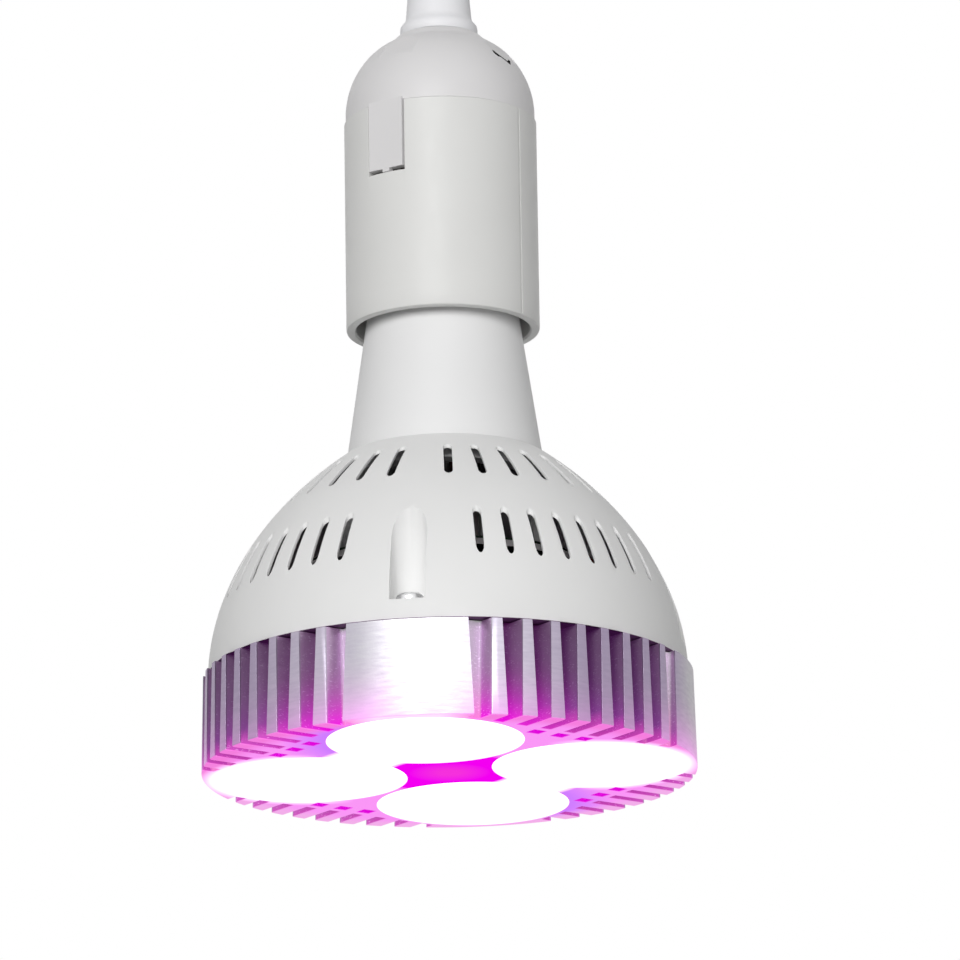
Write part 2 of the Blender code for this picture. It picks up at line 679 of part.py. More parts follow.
blades = tool("fan_blades", mesh_from("fan_blades", blade_shapes))
blade_wall = blades.modifiers.new("blade thickness", 'SOLIDIFY')
blade_wall.thickness = BLADE_THICK
blade_wall.offset = 0.0
fan_rotor = turned("fan_rotor", hub_profile, FAN_BLACK, SMALL_SIDES, closed=False)
change(fan_rotor, blades, 'UNION')

for k in range(4):
    corner = polar(FAN_HOLE * math.sqrt(2), 45.0 + 90.0 * k, FAN_TOP + GAP)
    pan_screw("fan_screw_%d" % (k + 1), corner, 2.5 * MM, 1.6 * MM, 1.15 * MM, 22.0 * MM)


# Driver board and what stands on it

def driver_disc(bm):
    add_cylinder(bm, (0.0, 0.0), DRIVER_RADIUS, DRIVER_BOTTOM, DRIVER_TOP, NECK_SIDES)


def driver_chips(bm):
    """The bridge rectifier, the controller chip and the output connector, soldered to the board."""
    for low, high in (((-24.0, -3.5, 38.8), (-18.5, 3.0, 42.2)),
                      ((18.0, -12.5, 38.8), (23.0, -8.0, 41.0)),
                      ((-3.0, -22.5, 38.8), (5.0, -17.5, 42.6))):
        add_box(bm, [v * MM for v in low], [v * MM for v in high])


def driver_holes(bm):
    """The two screw holes, and the notches at the edge where the diode leads pass."""
    bottom = DRIVER_BOTTOM - MM
    top = DRIVER_TOP + MM
    for angle in POST_ANGLES:
        add_cylinder(bm, polar(POST_CIRCLE, angle), 1.4 * MM, bottom, top, HOLE_SIDES)
    for quarter in range(4):
        add_cylinder(bm, polar(28.7 * MM, 90.0 * quarter), 1.9 * MM, bottom, top, HOLE_SIDES)


driver_board = piece("driver_board", mesh_from("driver_board", driver_disc), DRIVER_GREEN)
change(driver_board, tool("driver_chips", mesh_from("driver_chips", driver_chips)), 'UNION')
change(driver_board, tool("driver_holes", mesh_from("driver_holes", driver_holes)), 'DIFFERENCE')


def can(name, place, radius, height, material):
    """A can that stands on the driver board, its sleeve rolled over the edge of its top."""
    profile = [(0.0, height - 0.3 * MM),
               (radius - 0.9 * MM, height - 0.3 * MM),
               (radius - 0.5 * MM, height),
               (radius, height - 0.5 * MM),
               (radius, 0.0),
               (0.0, 0.0)]
    made = turned(name, profile, material, 12, closed=False)
    made.location = (place[0] * MM, place[1] * MM, DRIVER_SEAT)
    return made


can("input_capacitor", (11.7, -4.5), 4.2 * MM, 20.4 * MM, CAN_SLEEVE)
can("output_capacitor", (12.5, 16.5), 4.0 * MM, 12.0 * MM, CAN_SLEEVE)

choke_profile = [(0.0, 9.0 * MM), (4.4 * MM, 9.0 * MM), (4.4 * MM, 7.8 * MM), (3.4 * MM, 7.8 * MM),
                 (3.4 * MM, 1.2 * MM), (4.4 * MM, 1.2 * MM), (4.4 * MM, 0.0), (0.0, 0.0)]
choke = turned("line_choke", choke_profile, FERRITE, SCREW_SIDES, closed=False)
choke.location = (-14.0 * MM, 11.0 * MM, DRIVER_SEAT)


def film_case(bm):
    add_box(bm, (-14.0 * MM, 17.4 * MM, DRIVER_SEAT), (-2.5 * MM, 22.0 * MM, DRIVER_SEAT + 9.0 * MM))


def core_shape(bm):
    """The transformer's two E cores, closed into a frame that stands on edge."""
    low = (-12.5 * MM, -10.2 * MM, DRIVER_SEAT + 1.2 * MM)
    add_box(bm, low, (1.5 * MM, -5.8 * MM, DRIVER_SEAT + 12.6 * MM))


def winding_shape(bm):
    """The taped winding on its bobbin."""
    low = (-9.6 * MM, -13.0 * MM, DRIVER_SEAT + 2.4 * MM)
    add_box(bm, low, (-1.4 * MM, -3.0 * MM, DRIVER_SEAT + 11.4 * MM))


def bobbin_feet(bm):
    """The bobbin's two feet, which stand on the board."""
    for x in (-10.6, -3.0):
        add_box(bm, (x * MM, -12.4 * MM, DRIVER_SEAT), ((x + 2.6) * MM, -3.6 * MM, DRIVER_SEAT + 3.0 * MM))


film_capacitor = piece("film_capacitor", mesh_from("film_capacitor", film_case), FILM_YELLOW)
softened = film_capacitor.modifiers.new("moulded edges", 'BEVEL')
softened.width = 0.5 * MM
softened.segments = 1
transformer = piece("transformer", mesh_from("transformer", core_shape), FERRITE)
change(transformer, tool("winding", mesh_from("winding", winding_shape)), 'UNION')
change(transformer, tool("bobbin_feet", mesh_from("bobbin_feet", bobbin_feet)), 'UNION')

for k, angle in enumerate(POST_ANGLES):
    place = Vector(polar(POST_CIRCLE, angle, DRIVER_BOTTOM - GAP))
    made = pan_screw("driver_screw_%d" % (k + 1), place, 2.3 * MM, 1.5 * MM, 1.05 * MM, 6.0 * MM)
    made.rotation_euler.x = math.pi

wire("fan_lead", [(25.4, 8.0, 32.6), (27.2, 8.3, 33.6), (27.0, 8.0, 36.2), (25.2, 7.6, 36.9)],
     0.7 * MM, WIRE_BLACK, steps=1)
centre_route = [(1.0, 12.5, 40.7), (0.8, 12.6, 48.0), (0.0, 10.5, 62.0), (-0.5, 8.0, 80.0),
                (-0.3, 5.0, 98.0), (0.0, 1.0, 108.0), (0.0, 0.0, 113.9)]
side_route = [(5.0, 12.5, 40.7), (5.0, 12.6, 48.0), (5.2, 10.5, 62.0), (6.0, 7.6, 80.0),
              (6.6, 4.0, 98.0), (7.4, 1.4, 108.0), (8.5, 0.2, 112.4), (10.8, 0.0, 113.4)]
wire("cap_centre_lead", centre_route, 0.8 * MM, WIRE_RED, steps=1)
wire("cap_side_lead", side_route, 0.7 * MM, WIRE_BLACK, steps=1)


# Neck housing

def neck_radius(height):
    """The cone's outside, which runs on straight below the dome's mouth."""
    slope = (NECK_TOP[0] - NECK_BASE[0]) / (NECK_TOP[1] - NECK_BASE[1])
    return NECK_BASE[0] + slope * (height - NECK_BASE[1])


def post_shapes(bm):
    top = NECK_FLANGE[0] + 0.6 * MM
    for angle in POST_ANGLES:
        add_cylinder(bm, polar(POST_CIRCLE, angle), POST_RADIUS, DRIVER_SEAT, top, SCREW_SIDES)


def post_hole_shapes(bm):
    for angle in POST_ANGLES:
        add_cylinder(bm, polar(POST_CIRCLE, angle), 1.35 * MM, DRIVER_TOP, DRIVER_TOP + 8.5 * MM, HOLE_SIDES)


spigot_bore = SPIGOT_RADIUS - NECK_WALL
neck_profile = [(spigot_bore, SPIGOT_TOP),
                (SPIGOT_RADIUS, SPIGOT_TOP),
                (SPIGOT_RADIUS, CAP_THREAD[0] + 0.6 * MM),
                (12.4 * MM, CAP_THREAD[0] - 0.3 * MM),
                (12.4 * MM, NECK_TOP[1]),
                NECK_TOP,
                NECK_BASE,
                (neck_radius(NECK_FLANGE[1] + 0.4 * MM) - 0.6 * MM, NECK_FLANGE[1]),
                (NECK_FLANGE_RADIUS, NECK_FLANGE[1]),
                (NECK_FLANGE_RADIUS, NECK_FLANGE[0]),
                (17.1 * MM, NECK_FLANGE[0]),
                (17.1 * MM, NECK_BASE[1]),
                (neck_radius(90.0 * MM) - NECK_WALL, 90.0 * MM),
                (spigot_bore, 96.0 * MM)]
neck_housing = turned("neck_housing", neck_profile, NECK_WHITE, NECK_SIDES)
change(neck_housing, tool("driver_posts", mesh_from("driver_posts", post_shapes)), 'UNION')
change(neck_housing, tool("post_holes", mesh_from("post_holes", post_hole_shapes)), 'DIFFERENCE')


# Screw cap of the bulb

def knuckle(height, degrees):
    """The thread's wave: +1 on a crest, -1 in a root, rising by one pitch in each right-hand turn."""
    return math.cos(2 * math.pi * height / THREAD_PITCH - math.radians(degrees))


def blend(value, low, high):
    return min(max((value - low) / (high - low), 0.0), 1.0)


def threaded_sheet(name, rim, ends, top, mean, rim_radius, end_radius, closing, thickness, parent=None):
    """A rolled sheet-metal shell: a plain rim, the knuckle thread, a plain end and a closing flange.

    The thread swells out of the plain rim and dies away into the plain end over one row each.
    closing lists the last (radius, height) rows, and a negative thickness grows outwards.
    """
    step = THREAD_PITCH / ROWS_PER_TURN
    rows = round((ends[1] - ends[0]) / step)
    heights = [rim] + [ends[0] + i * step for i in range(rows + 1)] + [top]

    def shape(bm):
        rings = []
        for height in heights:
            ring = []
            for k in range(THREAD_SIDES):
                degrees = 360.0 * k / THREAD_SIDES
                wave = mean + THREAD_WAVE * knuckle(height, degrees)
                near_rim = blend(height, ends[0], ends[0] + step)
                near_end = 1.0 - blend(height, ends[0] + (rows - 1) * step, ends[0] + rows * step)
                plain = rim_radius if near_rim < 1.0 else end_radius
                share = min(near_rim, near_end)
                ring.append(bm.verts.new(polar(plain + (wave - plain) * share, degrees, height)))
            rings.append(ring)
        for radius, height in closing:
            rings.append([bm.verts.new(polar(radius, 360.0 * k / THREAD_SIDES, height))
                          for k in range(THREAD_SIDES)])
        for lower, upper in zip(rings, rings[1:]):
            for k in range(THREAD_SIDES):
                after = (k + 1) % THREAD_SIDES
                bm.faces.new((lower[k], lower[after], upper[after], upper[k]))

    made = piece(name, mesh_from(name, shape), NICKEL, parent)
    wall = made.modifiers.new("sheet", 'SOLIDIFY')
    wall.thickness = thickness
    wall.offset = -1.0
    wall.use_even_offset = False
    return made


threaded_sheet("cap_shell", CAP_RIM, CAP_THREAD, 117.0 * MM, THREAD_MEAN, 13.1 * MM, 12.1 * MM,
               [(11.3 * MM, CAP_TOP - 0.2 * MM), (9.7 * MM, CAP_TOP)], SHEET)

insulator_profile = [(1.7 * MM, 120.9 * MM),
                     (5.2 * MM, 120.9 * MM),
                     (9.9 * MM, CAP_TOP + GAP),
                     (9.0 * MM, CAP_TOP + GAP),
                     (9.0 * MM, 116.8 * MM),
                     (10.4 * MM, 116.6 * MM),
                     (10.4 * MM, 115.0 * MM),
                     (1.7 * MM, 115.0 * MM)]
turned("cap_insulator", insulator_profile, BLACK_GLASS, SMALL_SIDES)

contact_profile = [(0.0, CONTACT_TIP),
                   (2.6 * MM, CONTACT_TIP - 0.1 * MM),
                   (4.6 * MM, CONTACT_TIP - 0.7 * MM),
                   (4.6 * MM, 121.2 * MM),
                   (1.3 * MM, 121.2 * MM),
                   (1.3 * MM, 114.9 * MM),
                   (0.0, 114.9 * MM)]
turned("cap_contact", contact_profile, NICKEL, 12, closed=False)


# Lamp holder: everything here turns and lifts with the holder, apart from the cord boot and its nut

holder = bpy.data.objects.new("holder_axis", None)
boot_axis = bpy.data.objects.new("boot_axis", None)
pieces.objects.link(holder)
pieces.objects.link(boot_axis)
holder.parent = boot_axis

skirt_inside = HOLDER_RADIUS - HOLDER_WALL
skirt_profile = [(skirt_inside, SEAM),
                 (HOLDER_RADIUS, SEAM),
                 (HOLDER_RADIUS, HOLDER_MOUTH + 0.4 * MM),
                 (HOLDER_RADIUS - 0.4 * MM, HOLDER_MOUTH),
                 (skirt_inside, HOLDER_MOUTH),
                 (skirt_inside, LEDGE_IN_SKIRT[0] - 1.5 * MM),
                 (15.0 * MM, LEDGE_IN_SKIRT[0]),
                 (15.0 * MM, LEDGE_IN_SKIRT[1]),
                 (skirt_inside, LEDGE_IN_SKIRT[1])]


def latch_box(bm, inner, outer, half_width, bottom, top):
    add_box(bm, (inner, -half_width, bottom), (outer, half_width, top), LATCH_ANGLE)


holder_skirt = turned("holder_skirt", skirt_profile, HOLDER_WHITE, HOLDER_SIDES, parent=holder)


def latch_gap(bm):
    """The tongue's slot, open at the seam. It stops above the ledge that carries the insert."""
    half = LATCH_WIDTH / 2 + LATCH_SLIT
    latch_box(bm, 15.6 * MM, 22.0 * MM, half, LATCH_BOTTOM + 3.6 * MM, SEAM + 3.0 * MM)


def latch_window(bm):
    """The lower part of the slot, cut through the outer wall only."""
    half = LATCH_WIDTH / 2 + LATCH_SLIT
    latch_box(bm, 16.0 * MM, 22.0 * MM, half, LATCH_BOTTOM - 0.85 * MM, LATCH_BOTTOM + 5.0 * MM)


change(holder_skirt, tool("latch_gap", mesh_from("latch_gap", latch_gap)), 'DIFFERENCE')
change(holder_skirt, tool("latch_window", mesh_from("latch_window", latch_window)), 'DIFFERENCE')


def crown_arc(inset, start, end, steps):
    """Points of the crown's half ellipse, from one radius to a larger one lower down."""
    points = []
    wide = CROWN_RADIUS - inset
    rise = CROWN_RISE - inset
    first = math.acos(start / wide)
    last = math.acos(min(end / wide, 1.0))
    for i in range(steps + 1):
        t = first + (last - first) * i / steps
        points.append((wide * math.cos(t), CROWN_CENTRE + rise * math.sin(t)))
    return points


spigot_outside = skirt_inside - GAP
crown_outer = crown_arc(0.0, CROWN_FLAT + 0.5 * MM, CROWN_RADIUS, 5)
crown_inner = crown_arc(CROWN_WALL, CROWN_FLAT + 0.5 * MM, CROWN_RADIUS, 3)
crown_profile = [(CROWN_HOLE, BOOT_SEAT - GAP), (CROWN_FLAT, BOOT_SEAT - GAP)]
crown_profile += crown_outer
crown_profile += [(CROWN_RADIUS - 0.1 * MM, SEAM + GAP),
                  (spigot_outside, SEAM + GAP),
                  (spigot_outside, INSERT_STEP + 0.3 * MM),
                  (spigot_outside - SPIGOT_WALL, INSERT_STEP + 0.3 * MM),
                  (spigot_outside - SPIGOT_WALL, CROWN_CENTRE - 1.0 * MM)]
crown_profile += crown_inner[::-1]
crown_profile += [(CROWN_HOLE, 145.6 * MM)]
holder_crown = turned("holder_crown", crown_profile, HOLDER_WHITE, HOLDER_SIDES, parent=holder)


def latch_tongue(bm):
    """The locking tongue, which hangs from the crown's edge and fills the window in the skirt."""
    outer = HOLDER_RADIUS - 0.2 * MM
    latch_box(bm, 17.0 * MM, outer, LATCH_WIDTH / 2, LATCH_BOTTOM, CROWN_CENTRE + 0.6 * MM)


def latch_nub(bm):
    outer = HOLDER_RADIUS - 0.5 * MM
    latch_box(bm, 17.4 * MM, outer, 0.8 * MM, LATCH_BOTTOM - 0.55 * MM, LATCH_BOTTOM + 1.2 * MM)


tongue = tool("latch_tongue", mesh_from("latch_tongue", latch_tongue))
change(tongue, tool("latch_nub", mesh_from("latch_nub", latch_nub)), 'UNION')
change(holder_crown, tongue, 'UNION')

insert_profile = [(0.0, INSERT_TOP),
                  (INSERT_UPPER_RADIUS, INSERT_TOP),
                  (INSERT_UPPER_RADIUS, INSERT_STEP),
                  (INSERT_RADIUS, INSERT_STEP),
                  (INSERT_RADIUS, INSERT_BOTTOM),
                  (14.4 * MM, INSERT_BOTTOM),
                  (14.4 * MM, INSERT_CEILING),
                  (0.0, INSERT_CEILING)]


def insert_slots(bm):
    """The openings through which the two contact strips reach down."""
    low = INSERT_CEILING - MM
    high = INSERT_TOP + MM
    add_box(bm, (-6.0 * MM, -2.6 * MM, low), (6.2 * MM, 2.6 * MM, high))
    add_box(bm, (-12.6 * MM, -2.6 * MM, low), (-9.4 * MM, 2.6 * MM, high))


terminal_insert = turned("terminal_insert", insert_profile, BOARD_WHITE, LENS_SIDES, False, holder)
change(terminal_insert, tool("insert_slots", mesh_from("insert_slots", insert_slots)), 'DIFFERENCE')

threaded_sheet("screw_shell", SHELL_RIM, SHELL_THREAD, 121.8 * MM, THREAD_MEAN + THREAD_CLEARANCE,
               13.7 * MM, 13.6 * MM, [(13.2 * MM, SHELL_TOP - 0.1 * MM), (10.2 * MM, SHELL_TOP)],
               -SHEET, holder)


def strip(name, path, material, parent):
    """A bent metal strip: a path in the XZ plane, widened along Y and given its thickness."""
    half = STRIP_WIDTH / 2

    def shape(bm):
        rows = [[bm.verts.new((x * MM, y, z * MM)) for y in (-half, half)] for x, z in path]
        for a, b in zip(rows, rows[1:]):
            bm.faces.new((a[0], a[1], b[1], b[0]))

    made = piece(name, mesh_from(name, shape), material, parent)
    wall = made.modifiers.new("strip", 'SOLIDIFY')
    wall.thickness = STRIP_THICK
    wall.offset = 0.0
    wall.use_even_offset = True


leaf_path = [(12.6, 134.05), (4.9, 134.05), (4.6, 133.8), (4.6, 126.4), (4.0, 125.0), (1.6, 123.0),
             (-1.6, 122.85), (-3.6, 123.6)]
strap_path = [(-8.2, 134.05), (-10.9, 134.05), (-11.2, 133.8), (-11.2, 124.0), (-11.1, 123.5)]
strip("centre_contact", leaf_path, BRASS, holder)
strip("shell_strap", strap_path, BRASS, holder)


def terminal_shape(bm, x):
    low = (x - 2.2 * MM, -2.3 * MM, 134.6 * MM)
    high = (x + 2.2 * MM, 2.3 * MM, 139.6 * MM)
    add_box(bm, low, high)


def terminal_hole(bm, x):
    """The wire's way in, along Y, seen as a square hole under the screw."""
    add_box(bm, (x - 1.1 * MM, -4.0 * MM, 135.4 * MM), (x + 1.1 * MM, 4.0 * MM, 137.4 * MM))


def screw_hole(bm, x):
    add_cylinder(bm, (x, 0.0), 1.35 * MM, 135.8 * MM, 141.0 * MM, HOLE_SIDES)


for name, x in (("line", TERMINAL_MIDDLE), ("neutral", -TERMINAL_MIDDLE + 0.6 * MM)):
    block_mesh = mesh_from(name + "_terminal", lambda bm: terminal_shape(bm, x))
    block = piece(name + "_terminal", block_mesh, BRASS, holder)
    for role, shape in (("_wire_hole", terminal_hole), ("_screw_hole", screw_hole)):
        cutter = tool(name + role, mesh_from(name + role, lambda bm: shape(bm, x)))
        change(block, cutter, 'DIFFERENCE')
    pan_screw(name + "_terminal_screw", (x, 0.0, 139.9 * MM), 1.9 * MM, 1.3 * MM, 1.0 * MM, 3.4 * MM,
              parent=holder)


# Cord boot and the nut that holds it

boot_profile = [(BOOT_BORE, BOOT_TOP),
                (4.9 * MM, BOOT_TOP),
                (5.5 * MM, BOOT_TOP - 0.6 * MM),
                (6.1 * MM, 155.8 * MM),
                (6.45 * MM, 151.4 * MM),
                (BOOT_FLANGE - 0.1 * MM, BOOT_SEAT + 2.1 * MM),
                (BOOT_FLANGE, BOOT_SEAT + 1.3 * MM),
                (BOOT_FLANGE - 0.3 * MM, BOOT_SEAT),
                (BOOT_STEM, BOOT_SEAT),
                (BOOT_STEM, BOOT_BOTTOM),
                (BOOT_BORE, BOOT_BOTTOM)]
cord_boot = turned("cord_boot", boot_profile, BOOT_WHITE, SMALL_SIDES, parent=boot_axis)


def nut_shape(bm):
    add_cylinder(bm, (0.0, 0.0), NUT_RADIUS, *NUT_HEIGHTS, 6)


def nut_bore(bm):
    add_cylinder(bm, (0.0, 0.0), BOOT_STEM + GAP, NUT_HEIGHTS[0] - MM, NUT_HEIGHTS[1] + MM, 12)


boot_nut = piece("boot_nut", mesh_from("boot_nut", nut_shape), STEEL, boot_axis)
change(boot_nut, tool("boot_nut_bore", mesh_from("boot_nut_bore", nut_bore)), 'DIFFERENCE')


def settle(made):
    """Keeps the evaluated mesh of a piece, welded, and shades its round faces smooth."""
    evaluated = made.evaluated_get(bpy.context.evaluated_depsgraph_get())
    mesh = bpy.data.meshes.new_from_object(evaluated)
    mesh.name = made.name
    made.modifiers.clear()
    made.data = mesh
    mesh.shade_smooth()
    mesh.set_sharp_from_angle(angle=math.radians(32.0))


bpy.context.view_layer.update()
for made in [thing for thing in pieces.objects if thing.type == 'MESH']:
    settle(made)
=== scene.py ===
"""Grow light bulb in its pendant holder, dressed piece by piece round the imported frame, in metres."""
import json
import math
from types import SimpleNamespace

import bmesh
import bpy
from mathutils import Matrix, Vector


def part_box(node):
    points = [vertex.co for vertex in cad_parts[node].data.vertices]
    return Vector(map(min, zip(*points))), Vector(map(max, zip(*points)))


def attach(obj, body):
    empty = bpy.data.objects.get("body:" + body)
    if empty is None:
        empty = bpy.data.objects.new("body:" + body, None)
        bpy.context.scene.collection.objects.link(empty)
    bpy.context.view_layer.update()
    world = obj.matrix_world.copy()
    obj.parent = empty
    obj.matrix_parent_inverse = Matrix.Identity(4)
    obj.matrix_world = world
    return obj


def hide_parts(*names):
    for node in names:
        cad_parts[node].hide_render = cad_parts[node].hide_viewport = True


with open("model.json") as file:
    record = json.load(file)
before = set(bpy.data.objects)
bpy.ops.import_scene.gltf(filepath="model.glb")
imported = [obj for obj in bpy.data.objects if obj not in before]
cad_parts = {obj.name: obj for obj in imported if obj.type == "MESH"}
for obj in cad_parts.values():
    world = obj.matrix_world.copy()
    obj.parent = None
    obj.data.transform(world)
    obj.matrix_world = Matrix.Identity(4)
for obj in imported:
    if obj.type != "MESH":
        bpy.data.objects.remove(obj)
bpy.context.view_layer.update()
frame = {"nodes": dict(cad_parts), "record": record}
nodes = frame["nodes"]


# Camera. A long lens low down and far off, which looks up at the hanging lamp from a little to
# the right of its near block. The lamp leans a hair to the left in the picture.
MM = 0.001
CAMERA_AZIMUTH = math.radians(9.2)
CAMERA_RISE = math.radians(15.26)
CAMERA_ROLL = math.radians(-0.9)
CAMERA_DISTANCE = 1.547
AIM_HEIGHT = 58.0 * MM
AIM_ASIDE = 6.7 * MM
LENS_LENGTH = 300.0

camera_right = Vector((math.cos(CAMERA_AZIMUTH), math.sin(CAMERA_AZIMUTH), 0.0))
camera_ahead = Vector((-math.sin(CAMERA_AZIMUTH) * math.cos(CAMERA_RISE),
                       math.cos(CAMERA_AZIMUTH) * math.cos(CAMERA_RISE), math.sin(CAMERA_RISE)))
aim = camera_right * AIM_ASIDE + Vector((0.0, 0.0, AIM_HEIGHT))
facing = camera_ahead.to_track_quat('-Z', 'Y').to_matrix() @ Matrix.Rotation(CAMERA_ROLL, 3, 'Z')
bpy.ops.object.camera_add(location=aim - camera_ahead * CAMERA_DISTANCE, rotation=facing.to_euler())
camera = bpy.context.object
camera.data.lens = LENS_LENGTH
camera.data.sensor_width = 36.0
camera.data.clip_start = 0.05
camera.data.clip_end = 60.0
bpy.context.scene.camera = camera
bpy.context.scene.view_settings.view_transform = 'Standard'


# Studio. The lamp hangs over a pale floor in front of white. One large soft light stands just left
# of the camera and a little higher, so the lamp's sides fall off to grey as in the picture.
FLOOR_DROP = 2.4
FLOOR_SIZE = 14.0
AMBIENT = 0.29                       # of the air, level with the lamp
AMBIENT_FALL = 0.14                  # less of it straight above, and as much more below
FLOOR_GLOW = 0.62
LIGHT_SIZE = 0.9
LIGHT_AIM = 70.0 * MM                # the height on the lamp that the lights point at


def figure(tree, operation, *values):
    """A Math node on sockets and numbers. Gives its output."""
    node = tree.nodes.new("ShaderNodeMath")
    node.operation = operation
    for socket, value in zip(node.inputs, values):
        if isinstance(value, bpy.types.NodeSocket):
            tree.links.new(value, socket)
        else:
            socket.default_value = value
    return node.outputs[0]


def seen_directly(tree):
    """1 where the camera sees a surface itself, in a mirror or through glass, and 0 elsewhere."""
    path = tree.nodes.new("ShaderNodeLightPath")
    seen = figure(tree, 'MAXIMUM', path.outputs["Is Camera Ray"], path.outputs["Is Glossy Ray"])
    return figure(tree, 'MAXIMUM', seen, path.outputs["Is Transmission Ray"])


def lay_floor():
    bpy.ops.object.select_all(action='DESELECT')
    bpy.ops.mesh.primitive_plane_add(size=FLOOR_SIZE, location=(0.0, 0.0, -FLOOR_DROP))
    floor = bpy.context.object
    floor.name = "floor"
    bpy.ops.object.transform_apply(location=True, rotation=True, scale=True)
    paint = bpy.data.materials.new("pale_floor")
    paint.use_nodes = True
    tree = paint.node_tree
    shader = tree.nodes["Principled BSDF"]
    shader.inputs["Base Color"].default_value = (0.86, 0.86, 0.86, 1.0)
    shader.inputs["Roughness"].default_value = 0.9
    shader.inputs["Emission Color"].default_value = (1.0, 1.0, 1.0, 1.0)
    glow = figure(tree, 'MULTIPLY', seen_directly(tree), FLOOR_GLOW)
    tree.links.new(glow, shader.inputs["Emission Strength"])
    floor.data.materials.append(paint)


def light_the_air():
    world = bpy.data.worlds.new("white_air")
    bpy.context.scene.world = world
    world.use_nodes = True
    tree = world.node_tree
    background = tree.nodes["Background"]
    background.inputs["Color"].default_value = (1.0, 1.0, 1.0, 1.0)
    way = tree.nodes.new("ShaderNodeTexCoord")
    parts = tree.nodes.new("ShaderNodeSeparateXYZ")
    tree.links.new(way.outputs["Generated"], parts.inputs[0])
    air = figure(tree, 'MULTIPLY_ADD', parts.outputs["Z"], -AMBIENT_FALL, AMBIENT)
    span = figure(tree, 'MULTIPLY', seen_directly(tree), figure(tree, 'SUBTRACT', 1.0, air))
    tree.links.new(figure(tree, 'ADD', span, air), background.inputs["Strength"])


def soft_light(name, aside, rise, distance, power):
    """A square light aimed at the lamp, so many degrees to the camera's right and above level."""
    turn = CAMERA_AZIMUTH + math.radians(aside)
    back = Vector((math.sin(turn) * math.cos(math.radians(rise)),
                   -math.cos(turn) * math.cos(math.radians(rise)), math.sin(math.radians(rise))))
    bpy.ops.object.light_add(type='AREA', location=Vector((0.0, 0.0, LIGHT_AIM)) + back * distance,
                             rotation=back.to_track_quat('Z', 'Y').to_euler())
    light = bpy.context.object
    light.name = name
    light.data.size = LIGHT_SIZE
    light.data.energy = power


lay_floor()
light_the_air()
soft_light("key_light", aside=-11.0, rise=12.0, distance=2.0, power=27.2)
soft_light("low_light", aside=50.0, rise=-28.0, distance=2.0, power=3.4)


# Heat sink. One bare aluminium casting: a plate with four lens pockets, a flat block on each side
# and straight fins between the blocks. Air runs down the well, through the windows and the slots.
sink_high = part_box("heat_sink")[1]
FACE_RADIUS = sink_high.x
SINK_TOP_RADIUS = FACE_RADIUS - 0.4 * MM
SINK_HEIGHT = sink_high.z
FACE_EDGE = 0.25 * MM
WELL_RADIUS = 37.2 * MM
PLATE_TOP = 12.0 * MM
FIN_PITCH = 5.5 * MM
FIN_THICK_TOP = 1.75 * MM
FIN_THICK_FACE = 2.85 * MM
SLOT_INNER_END = 38.5 * MM
BLOCK_FLANK = 24.1 * MM
WINDOW_MIDDLE = 35.9 * MM
WINDOW_SIZE = 3.2 * MM
LENS_CIRCLE = 27.2 * MM
POCKET_RADIUS = 18.7 * MM
POCKET_DEPTH = 8.0 * MM
CHANNEL_CIRCLE = 42.15 * MM
FAN_CIRCLE = 20.0 * math.sqrt(2) * MM
LEAD_CIRCLE = 31.0 * MM
BOSS_RADIUS = 3.2 * MM
SCREW_HOLE = 1.55 * MM
LEAD_HOLE = 1.5 * MM
FAN_HOLE = 1.5 * MM
BLIND_BOTTOM = 9.4 * MM              # of the screws' holes, which stop in the plate
QUARTERS = [math.radians(90.0 * k) for k in range(4)]
DIAGONALS = [math.radians(45.0 + 90.0 * k) for k in range(4)]


def start(name):
    """Names the primitive that was just added."""
    made = bpy.context.object
    made.name = name
    made.data.name = name
    return made


def pick(made, wanted):
    """In edit mode, selects the vertices whose places are wanted."""
    bpy.ops.mesh.select_mode(type='VERT')
    bpy.ops.mesh.select_all(action='DESELECT')
    cage = bmesh.from_edit_mesh(made.data)
    for vert in cage.verts:
        vert.select = wanted(vert.co)
    cage.select_flush(True)
    bmesh.update_edit_mesh(made.data)


def fix_place(made):
    """The piece's place goes into its mesh, and its object stands at the origin."""
    bpy.ops.object.select_all(action='DESELECT')
    made.select_set(True)
    bpy.context.view_layer.objects.active = made
    bpy.ops.object.transform_apply(location=True, rotation=True, scale=True)
    return made


def block(name, low, high):
    """A box between two corners."""
    bpy.ops.object.select_all(action='DESELECT')
    middle = (Vector(high) + Vector(low)) / 2
    bpy.ops.mesh.primitive_cube_add(size=1.0, location=middle, scale=Vector(high) - Vector(low))
    return fix_place(start(name))


def rod(name, place, radius, bottom, top, sides=48):
    """A round bar along Z."""
    bpy.ops.object.select_all(action='DESELECT')
    bpy.ops.mesh.primitive_cylinder_add(vertices=sides, radius=radius, depth=top - bottom,
                                        location=(place[0], place[1], (top + bottom) / 2))
    return fix_place(start(name))


def round_the_axis(master, angles):
    """Copies of a shape, turned about the lamp's axis and joined into one."""
    bpy.ops.object.select_all(action='DESELECT')
    for angle in angles:
        copy = master.copy()
        copy.data = master.data.copy()
        copy.rotation_euler.z = angle
        bpy.context.collection.objects.link(copy)
        copy.select_set(True)
        bpy.context.view_layer.objects.active = copy
    bpy.ops.object.join()
    bpy.data.objects.remove(master)
    return fix_place(bpy.context.object)


def work(made, cutter, operation='DIFFERENCE'):
    """Cuts, joins or trims a piece with another shape, which is used up."""
    change = made.modifiers.new(cutter.name, 'BOOLEAN')
    change.object = cutter
    change.operation = operation
    bpy.ops.object.select_all(action='DESELECT')
    made.select_set(True)
    bpy.context.view_layer.objects.active = made
    bpy.ops.object.modifier_apply(modifier=change.name)
    bpy.data.objects.remove(cutter)
    return made


